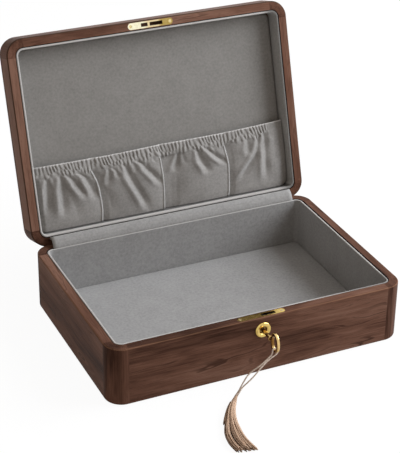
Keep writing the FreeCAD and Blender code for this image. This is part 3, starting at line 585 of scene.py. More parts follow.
floor_pad = pad(
    "floor_board", *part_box("base_floor_pad"), FLOOR_CORNER, FLOOR_EDGE, base_lining, "base", faces_up=True
)
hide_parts("base_floor_pad")
lid_pad = pad(
    "lid_board", *closed_box("lid_inner_panel"), PANEL_CORNER, PANEL_EDGE, lid_lining_shaded, "lid", faces_up=False
)
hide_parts("lid_inner_panel")

# Gathered pocket: a pouch with ruffles along an elastic hem, and creases that run down from it and fade
POCKET_COLUMNS = 801
POCKET_ROWS = 100
POCKET_UNDER_ROWS = 8
POCKET_BULGE = 8.5 * MM
POCKET_CLEAR = 0.5 * MM
POCKET_THICK = 0.7 * MM
POCKET_DEEPER = 1.6 * MM
POCKET_FOOT = 0.5 * MM
POCKET_END = 1.0 * MM
POCKET_CORNERS = (4 * MM, 8 * MM)
HEM_HEIGHT = 12 * MM
HEM_TUCK = 0.25 * MM
RUFFLE_DEPTH = 1.5 * MM
RUFFLE_RISE = 0.34
RUFFLES_STOP = 122 * MM
RUFFLES_FADE = 4 * MM
# The pitch of the upper and of the lower gathers, where the one row gives way to the other, and their lean
RUFFLE_PITCHES = (3.9 * MM, 4.5 * MM)
RUFFLE_TURN = 5.5 * MM
RUFFLE_TURN_LENGTH = 2.5 * MM
RUFFLE_LEAN = 0.16
# Waves along the hem: size, distance in millimetres to go on by a radian, and phase
DRIFT_WAVES = ((0.25, 9.1, 0), (0.2, 4.7, 1), (0.1, 2.9, 2))
LEAN_WAVE = (1, 8.3, 2)
TURN_WAVE = (0.6, 5.3, 0)
END_WAVE = (0.16, 3.3, 1)
# Where the gathers end, and over how much, as shares of the hem's height
RUFFLE_END = 0.74
RUFFLE_END_LENGTH = 0.36
# How strong the gathers are, and waves that change it: size, and distances along the hem and down it
RUFFLE_LEVEL = 0.62
RUFFLE_WAVES = ((0.24, 2.3, 2.1), (0.14, 7.1, -2.6))
# How weak the gathers are at the hem's edge, and how far down they reach their strength
EDGE_RUFFLES = 0.4
EDGE_RUFFLES_LENGTH = 1.2 * MM
# Where the hem passes into the pouch, as shares of its height, and the width of the tuck below it
HEM_END = 0.85
HEM_END_LENGTH = 0.3
HEM_TUCK_WIDTH = 1.5 * MM
CREASE_DEPTH = 5.4 * MM
# How a crease begins above its first place, where it starts to fade, and how its width grows from its start
CREASE_ABOVE = 2 * MM
CREASE_GROWTH = 4 * MM
CREASE_FADE = 0.6
CREASE_NARROW = 0.55
CREASE_WIDENS = 14 * MM
HOLLOW_ABOVE = 4 * MM
HOLLOW_GROWTH = 8 * MM
HOLLOW_FADE = 26 * MM
# How far a compartment's bulge goes down beside its seams, its roundness, and where its creases stop there
SEAM_SHARE = 0.8
BULGE_POWER = 0.8
SEAM_FREE = 0.04
SEAM_DEPTH = 4.0 * MM
SEAM_IN_HEM = 0.4
# Over how much and how far the pouch's ends are drawn in, and how much of that the hem is spared at the left
LEFT_END = 6.5 * MM
LEFT_DRAWN = 0.5
LEFT_SPARED = 0.75
RIGHT_END = 14 * MM
RIGHT_DRAWN = 0.3
# Sections of a crease, of a hollow with no crest and of the cloth beside a seam: distance to the right of
# the line in millimetres, and height as a share of the depth
CREASE_SECTION = (
    (-16, 0), (-12, 0.08), (-8.8, 0.3), (-7.6, 0.35), (-6.4, 0.29), (-1.3, -0.5), (0, -0.6), (1.2, -0.54),
    (6, -0.1), (8.5, -0.02), (11, 0),
)
HOLLOW_SECTION = ((-18, 0), (-1.5, -0.5), (0, -0.58), (1.5, -0.54), (7, -0.18), (10, -0.05), (14, 0))
SEAM_SECTION = ((-0.8, 0), (0.4, -0.1), (1.4, -0.6), (8, -0.08), (12, 0))
TROUGH_SECTION = ((-0.8, 0), (0.4, -0.1), (1.4, -0.95), (10, -0.75), (18, -0.36), (46, 0))
SEAM_SECTIONS = (SEAM_SECTION, TROUGH_SECTION, SEAM_SECTION)
SECTION_BLUR = np.linspace(-0.8, 0.8, 5)
# How far the pouch swells on its way down, and how far the hem drops below its mean line across the lid
POCKET_SWELL = ((0, 0.62), (0.2, 0.9), (0.42, 1.08), (0.58, 1.08), (0.76, 0.98), (0.92, 0.84), (1, 0.7))
HEM_DROP = ((-137, 0.3), (-60, 0.9), (0, -0.4), (70, -0.5), (137, -3.0))
# Each seam's sideways lean: distance below the hem's edge and distance from its own place, in millimetres
SEAM_LEAN = (
    ((12, -7.0), (22, -3.0), (31, -1.2), (45, -0.3), (54, -0.3), (66, -1.6)),
    ((12, -3.4), (31, -2.6), (45, -3.0), (66, -4.4)),
    ((11, -2.8), (25, -0.7), (31, -0.2), (45, -1.1), (58, -2.0), (66, -3.2)),
)
# Each crease of a compartment: its depth as a share of the deepest one's, its width as a share of the usual
# one, and the places it runs through, across the lid and below the hem's edge, in millimetres
CREASES = (
    (
        (1.0, 1.0, (-124.0, 12), (-124.5, 17), (-125.4, 31), (-128.1, 52)),
        (0.35, 0.6, (-118.5, 11), (-118.0, 18)),
        (1.0, 1.0, (-110.4, 12), (-109.7, 22), (-110.1, 36), (-111.7, 56)),
        (0.9, 1.0, (-103.1, 12), (-98.5, 17), (-93.5, 25), (-88.5, 33), (-85.0, 42)),
        (0.9, 1.0, (-90.8, 12), (-84.9, 17), (-80.8, 25), (-78.1, 33), (-75.8, 44)),
    ),
    (
        (0.7, 0.8, (-59.5, 12), (-59.2, 16), (-60.1, 25), (-61.7, 33)),
        (0.6, 0.7, (-56.0, 12), (-51.5, 17), (-49.5, 26)),
        (0.4, 0.6, (-48.0, 12), (-45.4, 21)),
        (
            1.0, 1.0, (-42.6, 11), (-40.8, 15), (-38.1, 24), (-34.5, 33), (-29.9, 42), (-25.8, 51),
            (-19.5, 68),
        ),
        (0.4, 0.7, (-33.1, 12), (-30.4, 24)),
        (1.0, 1.0, (-27.6, 11), (-22.6, 15), (-18.5, 21), (-14.0, 26), (-9.0, 33), (-4.0, 42)),
        (0.4, 0.6, (-19.0, 12), (-16.5, 20)),
        (0.4, 0.6, (-11.7, 9), (-8.0, 17)),
    ),
    (
        (0.9, 0.9, (18.0, 11), (15.3, 20), (11.2, 32)),
        (0.4, 0.7, (22.1, 12), (24.2, 25)),
        (1.0, 1.0, (38.1, 11), (39.9, 18), (42.6, 25), (45.8, 31), (48.2, 40)),
        (1.0, 1.0, (48.0, 10), (49.7, 13), (55.3, 18), (59.4, 22), (64.9, 27), (69.5, 33)),
        (0.4, 0.6, (55.3, 11), (60.5, 20)),
    ),
    (
        (0.5, 1.0, (95.3, 10), (95.3, 19), (97.1, 30)),
        (0.9, 1.0, (107.6, 10), (107.3, 18), (105.3, 25), (100.8, 31), (95.3, 36), (88.1, 44), (81.0, 54)),
        (1.0, 1.0, (115.3, 8), (115.3, 22), (114.9, 31), (113.7, 40), (113.1, 50), (113.1, 60)),
        (0.35, 1.2, (126.2, 13), (125.3, 44)),
    ),
)
# Broad hollows: the depth in millimetres, the width as a share of the usual one, and the places each runs
# through, as for the creases
HOLLOWS = (
    (3.0, 1.0, (-106, 22), (-103, 34), (-99, 46), (-95, 66)),
    (3.0, 1.0, (-69, 16), (-66.5, 30), (-63, 42), (-59, 66)),
    (3.0, 1.2, (17.5, 10), (15.0, 25), (12.5, 41), (9.0, 70)),
    (2.4, 1.0, (75, 12), (76, 24), (77, 42)),
)


def seam_places():
    """Where the three seams run, from the tapes' own solids."""
    xs = sorted({round(vertex.co.x, 5) for vertex in nodes["pocket_seam_tapes"].data.vertices})
    return [(low + high) / 2 for low, high in zip(xs[::2], xs[1::2])]


pocket_low, pocket_high = closed_box("pocket_cloth")
panel_face = closed_box("lid_inner_panel")[0].z
seams = seam_places()
pocket_height = pocket_high.y - pocket_low.y + POCKET_DEEPER
compartment_ends = [pocket_low.x - POCKET_END, *seams, pocket_high.x + POCKET_END]


def seam_line(number, below):
    """Where a seam runs, at distances below the hem's edge."""
    return seams[number] + np.interp(below / MM, *zip(*SEAM_LEAN[number])) * MM


def section(off, points, width=1.0):
    """The height of a softened section at distances to the right of its line."""
    places, heights = zip(*points)
    across = off / (width * MM)
    return sum(np.interp(across + shift, places, heights) for shift in SECTION_BLUR) / len(SECTION_BLUR)


def gathers(turns):
    """A row of small gathers, each with a steep rise and a long fall to its right, from zero to one."""
    phase = np.mod(turns, 1)
    return smooth_step(np.minimum(phase / RUFFLE_RISE, (1 - phase) / (1 - RUFFLE_RISE)))


def wave(places, size, length, phase):
    """A wave along the hem, by its size, its distance in millimetres to a radian and its phase."""
    return size * np.sin(places / (length * MM) + phase)


def ruffles(x, below):
    """Uneven gathers along the hem, in two rows that lean right and come and go on their way down."""
    drift = sum(wave(x, *row) for row in DRIFT_WAVES)
    leaning = x - RUFFLE_LEAN * (1 + wave(x, *LEAN_WAVE)) * below
    upper = gathers(leaning / RUFFLE_PITCHES[0] + drift)
    lower = gathers(leaning / RUFFLE_PITCHES[1] - drift)
    turned = smooth_step((below - RUFFLE_TURN) / RUFFLE_TURN_LENGTH - wave(x, *TURN_WAVE))
    strong = RUFFLE_LEVEL
    for size, across, down in RUFFLE_WAVES:
        strong = strong + size * np.sin(x / (across * MM) + below / (down * MM))
    ended = smooth_step((below / HEM_HEIGHT - RUFFLE_END - wave(x, *END_WAVE)) / RUFFLE_END_LENGTH)
    return (upper + (lower - upper) * turned) * strong * (1 - ended)


def crease(x, below, depth, width, route):
    """One crease's share of the cloth's height."""
    across, downward = (np.array(places) * MM for places in zip(*route))
    middle = np.interp(below, downward, across)
    grow = smooth_step((below - downward[0] + CREASE_ABOVE) / CREASE_GROWTH)
    fade_from = (1 - CREASE_FADE) * downward[0] + CREASE_FADE * downward[-1]
    fade = 1 - smooth_step((below - fade_from) / (downward[-1] - fade_from))
    widened = smooth_step((below - downward[0]) / CREASE_WIDENS)
    wide = width * (CREASE_NARROW + (1 - CREASE_NARROW) * widened)
    return CREASE_DEPTH * depth * wide * section(x - middle, CREASE_SECTION, wide) * grow * fade


def hollow(x, below, depth, width, route):
    """One broad hollow's share of the cloth's height."""
    across, downward = (np.array(places) * MM for places in zip(*route))
    middle = np.interp(below, downward, across)
    grow = smooth_step((below - downward[0] + HOLLOW_ABOVE) / HOLLOW_GROWTH)
    fade = 1 - smooth_step((below - downward[-1] + HOLLOW_FADE) / HOLLOW_FADE)
    return depth * MM * section(x - middle, HOLLOW_SECTION, width) * grow * fade


def pocket_stand(x, down):
    """How far the cloth stands off the panel, across it and at shares of the way down from its hem."""
    below = down * pocket_height
    swell = np.interp(down, *zip(*POCKET_SWELL))
    lines = [seam_line(number, below) for number in range(len(seams))]
    lines = [compartment_ends[0] + 0 * x, *lines, compartment_ends[-1] + 0 * x]
    in_hem = 1 - smooth_step((below - HEM_END * HEM_HEIGHT) / (HEM_END_LENGTH * HEM_HEIGHT))
    stand = np.zeros_like(x)
    for start, end, creases in zip(lines, lines[1:], CREASES):
        here = (x >= start) & (x <= end)
        share = np.clip((x - start) / (end - start), 0, 1)
        free = smooth_step(np.minimum(share, 1 - share) / SEAM_FREE)
        rounded = SEAM_SHARE + (1 - SEAM_SHARE) * np.sin(math.pi * share) ** BULGE_POWER
        shape = POCKET_BULGE * swell * rounded
        for depth, width, *route in creases:
            shape += crease(x, below, depth, width, route) * free
        stand = np.where(here, shape, stand)
    for depth, width, *route in HOLLOWS:
        stand += hollow(x, below, depth, width, route)
    for line, beside in zip(lines[1:-1], SEAM_SECTIONS):
        stand += SEAM_DEPTH * section(x - line, beside) * (1 - (1 - SEAM_IN_HEM) * in_hem)
    at_edge = EDGE_RUFFLES + (1 - EDGE_RUFFLES) * smooth_step(below / EDGE_RUFFLES_LENGTH)
    puckered = smooth_step((RUFFLES_STOP - x) / RUFFLES_FADE) * at_edge
    stand += RUFFLE_DEPTH * ruffles(x, below) * puckered
    stand -= HEM_TUCK * np.exp(-(((below - HEM_HEIGHT) / HEM_TUCK_WIDTH) ** 2))
    left = LEFT_DRAWN * (1 - smooth_step((x - compartment_ends[0]) / LEFT_END))
    right = RIGHT_DRAWN * (1 - smooth_step((compartment_ends[-1] - x) / RIGHT_END))
    stand *= (1 - left * (1 - LEFT_SPARED * in_hem)) * (1 - right)
    return np.maximum(stand, 0) + POCKET_CLEAR


def pocket_point(x, down, stand):
    drop = np.interp(x / MM, *zip(*HEM_DROP)) * MM * (1 - down)
    corner = np.where(x < 0, *POCKET_CORNERS)
    past = np.clip(np.abs(x) - (compartment_ends[-1] - corner), 0, corner)
    cut = corner - np.sqrt(corner ** 2 - past ** 2)
    y = pocket_low.y + drop + down * (pocket_height - cut)
    return np.stack([x, y, panel_face - stand + np.zeros_like(x)], axis=-1)


def pocket():
    xs = np.linspace(compartment_ends[0], compartment_ends[-1], POCKET_COLUMNS)
    x, down = np.meshgrid(xs, np.linspace(0, 1, POCKET_ROWS))
    points = pocket_point(x, down, pocket_stand(x, down))
    # The foot turns under, back to the panel
    foot = points[-1]
    under = []
    for turn in np.linspace(0, math.pi / 2, POCKET_UNDER_ROWS + 1)[1:]:
        row = foot.copy()
        row[:, 1] += POCKET_FOOT * math.sin(turn)
        row[:, 2] += (panel_face - POCKET_CLEAR - foot[:, 2]) * (1 - math.cos(turn))
        under.append(row)
    points = np.concatenate([points, np.stack(under)])
    cloth = piece(
        "gathered_pocket", [OPENED @ Vector(point) for point in points.reshape(-1, 3)],
        grid_faces(len(points), POCKET_COLUMNS), pocket_lining, None,
    )
    body = cloth.modifiers.new("thickness", "SOLIDIFY")
    body.thickness = POCKET_THICK
    body.offset = 0
    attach(cloth, "lid")
    return cloth


pocket_cloth = pocket()
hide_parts("pocket_cloth")


# Tubes along lines of points


def frames(line):
    """Each point of a line, with two directions square to the line that turn as little as they can."""
    line = [Vector(point) for point in line]
    normal = None
    for number, here in enumerate(line):
        ahead = (line[min(number + 1, len(line) - 1)] - line[max(number - 1, 0)]).normalized()
        if normal is None:
            normal = ahead.orthogonal()
        normal = (normal - ahead * normal.dot(ahead)).normalized()
        yield here, normal, ahead.cross(normal)


def around(here, normal, beside, angle, radius):
    return here + (normal * math.cos(angle) + beside * math.sin(angle)) * radius


def sweep(line, radii, sides):
    """Vertices and faces of a closed tube along a line, with a radius at each point."""
    vertices = []
    for spot, radius in zip(frames(line), radii):
        vertices += [around(*spot, 2 * math.pi * side / sides, radius) for side in range(sides)]
    faces = grid_faces(len(line), sides, round_columns=True)
    faces.append(tuple(range(sides)))
    faces.append(tuple(range((len(line) - 1) * sides, len(line) * sides)))
    return vertices, faces


def evenly(line, step):
    along = np.concatenate([[0], np.cumsum(np.linalg.norm(np.diff(line, axis=0), axis=1))])
    at = np.linspace(0, along[-1], math.ceil(along[-1] / step))
    return np.stack([np.interp(at, along, line[:, axis]) for axis in range(3)], axis=1)


def joined(tubes):
    vertices, faces = [], []
    for more, shapes in tubes:
        faces += [tuple(len(vertices) + number for number in face) for face in shapes]
        vertices += more
    return vertices, faces


# Piping: a cord along each seam, and the rolled edge of the hem
PIPING_RADIUS = 1.15 * MM
PIPING_PROUD = 0.5 * MM
WEB_THICK = 0.6 * MM
EDGE_RADIUS = 0.85 * MM
PIPING_POINTS = 40
PIPING_SIDES = 8


def piping():
    """A rounded cord along each seam, on a web that holds the cloth to the panel."""
    parts = []
    for number in range(len(seams)):
        downs = np.linspace(HEM_HEIGHT / pocket_height, 1, PIPING_POINTS)
        xs = seam_line(number, downs * pocket_height)
        stands = pocket_stand(xs, downs)
        line = pocket_point(xs, downs, stands + PIPING_PROUD)
        line = [OPENED @ Vector(point) for point in line]
        parts.append(sweep(line, [PIPING_RADIUS] * PIPING_POINTS, PIPING_SIDES))
        web = []
        foot, crest = pocket_point(xs, downs, 0 * stands), pocket_point(xs, downs, stands)
        for low, high in zip(foot, crest):
            for side, end in ((-1, low), (1, low), (1, high), (-1, high)):
                web.append(OPENED @ Vector(end + (side * WEB_THICK / 2, 0, 0)))
        faces = grid_faces(PIPING_POINTS, 4, round_columns=True)
        faces += [(0, 1, 2, 3), tuple(range(len(web) - 4, len(web)))]
        parts.append((web, faces))
    return piece("pocket_piping", *joined(parts), piping_cloth, "lid")


def hem_edge():
    xs = np.linspace(compartment_ends[0], compartment_ends[-1], POCKET_COLUMNS)
    top = np.zeros_like(xs)
    line = [OPENED @ Vector(point) for point in pocket_point(xs, top, pocket_stand(xs, top))]
    return piece("hem_edge", *sweep(line, [EDGE_RADIUS] * len(line), PIPING_SIDES), hem_highlight_cloth, "lid")


seam_piping = piping()
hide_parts("pocket_seam_tapes")
hem_edge()

# Cloth strip over the hinges, from the top of the base lining to behind the edge of the lid lining
STRIP_STEP = 0.5 * MM
STRIP_COLUMNS = 67
STRIP_THICK = 0.7 * MM
STRIP_COLOUR = (0.32, 0.312, 0.303, 1)
STRIP_INSET = 1.1 * MM
STRIP_TUCK = 0.9 * MM
# The strip's section: shares of the way round the hinge's axis, and distances from it in millimetres
STRIP_SECTION = (
    (0, 8.9), (0.12, 8.5), (0.3, 8.2), (0.5, 8.3), (0.66, 8.5), (0.76, 8.6), (0.81, 8.2), (0.85, 7.0),
    (0.88, 5.8), (0.91, 5.4), (0.94, 5.8), (0.955, 6.4),
)


def strip():
    low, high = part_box("hinge_cover_strip")
    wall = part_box("base_liner_wall")[1]
    lid_edge = closed_box("lid_liner_wall")[0]
    start = Vector((0, wall.y - STRIP_INSET, wall.z))
    end = OPENED @ Vector((0, wall.y - STRIP_INSET + STRIP_TUCK, lid_edge.z))
    first = math.atan2(start.z - hinge.z, start.y - hinge.y) % (2 * math.pi)
    last = math.atan2(end.z - hinge.z, end.y - hinge.y)
    turns = [(first + (last - first) * share, reach * MM) for share, reach in STRIP_SECTION]
    profile = np.array([(0, reach * math.cos(angle), reach * math.sin(angle)) for angle, reach in turns])
    vertices = []
    for point in evenly(profile, STRIP_STEP):
        for column in range(STRIP_COLUMNS):
            x = low.x + (high.x - low.x) * column / (STRIP_COLUMNS - 1)
            vertices.append(hinge + Vector((x, *point[1:])))
    look = suede("strip_cloth", STRIP_COLOUR)
    rows = len(vertices) // STRIP_COLUMNS
    cloth = piece("hinge_strip", vertices, grid_faces(rows, STRIP_COLUMNS), look, None)
    body = cloth.modifiers.new("thickness", "SOLIDIFY")
    body.thickness = STRIP_THICK
    body.offset = 0
    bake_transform(cloth)
    return cloth


hinge_strip = strip()
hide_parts("hinge_cover_strip")

# Brass and steel
BRASS = (0.74, 0.53, 0.17, 1)
SCREW_BRASS = (0.86, 0.70, 0.36, 1)
KEY_BRASS = (0.82, 0.57, 0.24, 1)
STRIKE_BRASS = (0.78, 0.63, 0.37, 1)
# Where the strike plate's painted light and shade change from its left end to its right end, and its colours
# there:
# a painted highlight at the left and painted shade at the right
STRIKE_ENDS = (-20 * MM, 20 * MM)
STRIKE_LIGHT_AND_SHADE = (
    (0.0, (0.95, 0.9, 0.66, 1)), (0.22, (0.95, 0.9, 0.66, 1)), (0.4, STRIKE_BRASS), (0.78, STRIKE_BRASS),
    (0.88, (0.42, 0.29, 0.07, 1)),
)
# Painted shade: metal takes these shares of its colour where it faces away from this lit side
FACING_SHADE = (0.28, 0.2, 0.12)
LIT_SIDE = (0.45, -0.3, 0.84)
# The lock's plug: dark brass, a painted shade for the keyhole it sits in
PLUG_BRASS_SHADED = (0.2, 0.125, 0.045, 1)
STEEL = (0.5, 0.49, 0.47, 1)
# The middle and half width of the band across the key's bow painted in shade, and how much of it wholly so
KEY_SHADE_BAND = (-122 * MM, 3.5 * MM)
SHADE_BAND_SHARE = 0.6
WORN_NOISE = (380, 3)
WORN_SPAN = (0.35, 0.65)
WORN_SHADE = 0.82
LIGHT_AND_SHADE_SPAN = (0.3, 0.7, 0.8, 1)
FACING_SHADE_SPAN = (-0.6, 0.45)
SCRATCH_NOISE = (2400, 2, (0.08, 1, 1))
SCRATCH_SPAN = (0.3, 0.7)
SCRATCH_ROUGHNESS = (0.7, 1.3)
SCRATCH_DEPTH = 0.02 * MM
SCRATCH_STRENGTH = 0.3


def metal(name, colour, roughness, painted_shade=None, painted_ends=None):
    """Polished metal, darker in worn patches, with painted shade where it faces away or in a band, and
    perhaps painted light and shade along it.
    """
    look = Look(name, Metallic=1.0)
    place = look.place()
    worn = look.noise(place, *WORN_NOISE)
    scratched = look.noise(place, *SCRATCH_NOISE)
    facing = look.vector("DOT_PRODUCT", look.normal(), LIT_SIDE, out="Value")
    dark = [WORN_SHADE * channel for channel in colour[:3]] + [1]
    shaded_colour = [share * channel for share, channel in zip(FACING_SHADE, colour)] + [1]
    polished = look.mix(look.span(worn, *WORN_SPAN), dark, colour)
    # Painted highlight and shade along the strike plate, from its left end to its right
    if painted_ends:
        lit_and_shaded = look.ramp(look.span(look.axis(place, "X"), *STRIKE_ENDS), *painted_ends)
        polished = look.mix(look.span(worn, *LIGHT_AND_SHADE_SPAN), polished, lit_and_shaded)
    # Painted shade where a surface faces away from the lit side
    lit_share = look.span(facing, *FACING_SHADE_SPAN)
    # Painted shade over a band across the key's bow
    if painted_shade:
        middle, half = painted_shade
        off = look.math("ABSOLUTE", look.math("SUBTRACT", look.axis(place, "Y"), middle))
        lit_share = look.math("MULTIPLY", lit_share, look.span(off, SHADE_BAND_SHARE * half, half))
    rough = [share * roughness for share in SCRATCH_ROUGHNESS]
    look.give(look.shader, {
        "Base Color": look.mix(lit_share, shaded_colour, polished),
        "Roughness": look.span(scratched, *SCRATCH_SPAN, *rough),
    })
    look.bump(scratched, SCRATCH_DEPTH, SCRATCH_STRENGTH)
    return look


plates = metal("plate_brass", BRASS, 0.09)
ring = metal("ring_brass", BRASS, 0.12)
key_metal = metal("key_brass", KEY_BRASS, 0.17, KEY_SHADE_BAND)
steel = metal("lock_steel", STEEL, 0.35)
screws = metal("screw_brass", SCREW_BRASS, 0.2)
paint(metal("strike_brass_painted", STRIKE_BRASS, 0.2, painted_ends=STRIKE_LIGHT_AND_SHADE), "strike_plate")
paint(plates, "lock_face_plate", "hinge_left_pin", "hinge_right_pin")
paint(screws, "hinge_base_screws", "hinge_lid_screws", "lock_plate_screws", "strike_screws")
paint(plates, *[f"hinge_{side}_{half}_leaf" for side in ("left", "right") for half in ("base", "lid")])
paint(key_metal, "key")
paint(steel, "lock_case", "lock_hook")
paint(metal("plug_brass_shaded", PLUG_BRASS_SHADED, 0.3), "lock_plug")

# Keyhole ring: a turned, domed washer on the front
RING_STEPS = 48
# The ring's section: distance from the key's axis and height above the front, in millimetres
RING_SECTION = (
    (8.0, 0), (8.0, 0.4), (7.8, 0.95), (7.3, 1.4), (6.6, 1.7),
    (5.9, 1.8), (5.0, 1.7), (4.2, 1.4), (3.7, 1.0), (3.5, 0),
)


def keyhole_ring():
    axis = Vector(joints["key_turn"]["pos_m"])
    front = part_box("base_front_rail")[0].y
    vertices = []
    for step in range(RING_STEPS):
        angle = 2 * math.pi * step / RING_STEPS
        for reach, height in RING_SECTION:
            outward = Vector((math.cos(angle), 0, math.sin(angle))) * reach * MM
            vertices.append(Vector((axis.x, front - height * MM, axis.z)) + outward)
    faces = grid_faces(RING_STEPS, len(RING_SECTION), round_columns=True)
    last = (RING_STEPS - 1) * len(RING_SECTION)
    for number in range(len(RING_SECTION)):
        after = (number + 1) % len(RING_SECTION)
        faces.append((last + number, last + after, after, number))
    return piece("keyhole_ring", vertices, faces, ring, "base")


turned_ring = keyhole_ring()
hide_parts("escutcheon")

# Tassel: a twisted string looped through the key's bow, a bound neck and a skirt of threads
STRING_ROUTE = (
    (-41.5, -132.9, 3.6),
    (-38.3, -132.2, 6.0),
    (-31.8, -128.9, 13.0),
    (-25.4, -127.5, 20.5),
    (-15.8, -130.5, 27.6),
    (-6.3, -128.7, 33.0),
    (-2.7, -128.3, 35.8),
    (-2.9, -128.2, 41.0),
    (2.9, -128.2, 41.0),
    (2.5, -128.5, 34.8),
    (-5.1, -128.9, 32.1),
    (-14.8, -131.1, 26.6),
    (-21.9, -133.1, 20.9),
    (-28.9, -133.0, 15.0),
    (-33.7, -131.4, 10.0),
    (-38.0, -133.7, 6.4),
    (-40.2, -134.1, 3.6),
)
STRING_DIAMETER = 1.3 * MM
STRING_PLIES = 3
PLY_PITCH = 4.5 * MM
PLY_SWELL = 1.25
PLY_SIDES = 6
PLY_SHADES = (0.5, 0.7, 0.9)
STRING_STEP = 0.35 * MM
STRING_RESOLUTION = 24
NECK_LENGTH = 10.6 * MM
NECK_RADII = (1.0 * MM, 2.3 * MM)
NECK_TURNS = 13
NECK_STEPS = 14
NECK_SIDES = 16
NECK_SHADES = ([0.5], [0.75])
WHIPPING_RADIUS = 0.42 * MM
WHIPPING_SIDES = 6
SKIRT_LENGTH = 70.8 * MM
SKIRT_HALF_WIDTH = 7.75 * MM
SKIRT_HALF_HEIGHT = 3 * MM
SKIRT_CLEAR = 0.3 * MM
# The skirt's lay on the table: its heading in degrees, its width and its height from the neck to the tips
SKIRT_HEADING = ((0, 232), (0.2, 241), (0.45, 252), (0.65, 260), (0.85, 272), (1, 281))
SKIRT_WIDTH = ((0, 0.3), (0.14, 0.42), (0.29, 0.56), (0.42, 0.72), (0.56, 0.86), (0.69, 0.98), (1, 1.1))
SKIRT_HEIGHT = ((0, 0.85), (0.22, 0.95), (0.46, 0.85), (0.72, 0.7), (1, 0.55))
SKIRT_POINTS = 26
THREADS = 160
THREAD_RADIUS = 0.5 * MM
THREAD_SIDES = 5
THREAD_SEED = 7
# Each thread's length, its sway from side to side, how often it sways and from where
THREAD_LENGTHS = (0.95, 1.0)
THREAD_SWAYS = (0.2, 0.7)
THREAD_BEATS = (0.6, 1.6)
THREAD_PHASES = (0, 6)
LOCKS = 6
LOCK_GATHER = 0.4
# A thread's middle shade, what its lock adds in turn, what its height and side add as painted shade on the
# lower threads and painted light on the right-hand ones, and its own spread
MIDDLE_SHADE = 0.5
LOCK_SHADES = (-0.2, 0.24)
RISE_PAINTED_SHADE = 0.25
SIDE_PAINTED_LIGHT = 0.12
SHADE_SPREAD = (-0.2, 0.2)
STRING_COLOURS = ((0.46, 0.36, 0.29, 1), (0.82, 0.69, 0.59, 1))
THREAD_COLOURS = ((0.085, 0.036, 0.012, 1), (0.66, 0.46, 0.325, 1))
TIP_SHADE = -0.1
UNEVEN_NOISE = (300, 2)
UNEVEN_TONE = 0.5
FUZZ_NOISE = (4000, 1)
FUZZ_DEPTH = 0.05 * MM
FUZZ_STRENGTH = 0.4
# How much wider the left half of the skirt lies, how much shorter its outermost threads are, and how much
# longer those on the right
SKIRT_LEFT_WIDER = ((0, 1), (0.4, 1.05), (0.6, 1.35), (0.8, 1.4), (1, 1.15))
LEFT_SHORTER = 0.05
RIGHT_LONGER = 0.07
# A lock that lies apart on the left and ends early: its threads, side, length and shade
SIDE_LOCK = (18, -1.2, 0.43, 0.35)
SIDE_LOCK_WIDTH = 0.25
SIDE_LOCK_LENGTHS = (0.93, 1.0)
SIDE_LOCK_SPREAD = (-0.2, 0.3)


def thread(name, dark, light):
    """Silky thread, whose shade is each strand's own, with a faint unevenness along it."""
    look = Look(name, Roughness=0.5, Specular_IOR_Level=0.2, Sheen_Weight=0.05, Sheen_Roughness=0.4)
    place = look.place()
    strand = look.add("Attribute", {}, out="Fac", attribute_name="shade")
    uneven = look.math("SUBTRACT", look.noise(place, *UNEVEN_NOISE), 0.5)
    tone = look.math("MULTIPLY_ADD", uneven, UNEVEN_TONE, strand)
    look.give(look.shader, {"Base Color": look.mix(tone, dark, light)})
    look.bump(look.noise(place, *FUZZ_NOISE), FUZZ_DEPTH, FUZZ_STRENGTH)
    return look


def strands(name, tubes, shades, look):
    """One mesh of many strands, with each strand's shades from its start to its end."""
    thing = piece(name, *joined(tubes), look, "tassel")
    values = np.concatenate([
        np.repeat(along, len(vertices) // len(along)) for (vertices, _), along in zip(tubes, shades)
    ])
    thing.data.attributes.new("shade", "FLOAT", "POINT").data.foreach_set("value", values)
    return thing


def string_line():
    """Points along the smooth line that the route's points control."""
    curve = bpy.data.curves.new("string_route", "CURVE")
    curve.dimensions = "3D"
    curve.resolution_u = STRING_RESOLUTION
    spline = curve.splines.new("NURBS")
    spline.points.add(len(STRING_ROUTE) - 1)
    for control, place in zip(spline.points, STRING_ROUTE):
        control.co = (*[axis * MM for axis in place], 1)
    spline.order_u = 3
    spline.use_endpoint_u = True
    holder = bpy.data.objects.new("string_route", curve)
    mesh = bpy.data.meshes.new_from_object(holder)
    line = np.array([vertex.co for vertex in mesh.vertices])
    bpy.data.objects.remove(holder)
    bpy.data.curves.remove(curve)
    bpy.data.meshes.remove(mesh)
    return line


def string():
    line = evenly(string_line(), STRING_STEP)
    ply_radius = STRING_DIAMETER / 4
    plies = [[] for _ in range(STRING_PLIES)]
    for number, spot in enumerate(frames(line)):
        for ply, points in enumerate(plies):
            angle = 2 * math.pi * (ply / STRING_PLIES + number * STRING_STEP / PLY_PITCH)
            points.append(around(*spot, angle, ply_radius))
    tubes = [sweep(points, [PLY_SWELL * ply_radius] * len(points), PLY_SIDES) for points in plies]
    shades = [[shade] for shade in PLY_SHADES]
    return strands("tassel_cord", tubes, shades, thread("string_cotton", *STRING_COLOURS)), line


tassel_threads = thread("tassel_thread", *THREAD_COLOURS)
tassel_cord, cord_line = string()
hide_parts("tassel_string")


def heading_at(share):
    angle = math.radians(np.interp(share, *zip(*SKIRT_HEADING)))
    return Vector((math.cos(angle), math.sin(angle), 0))


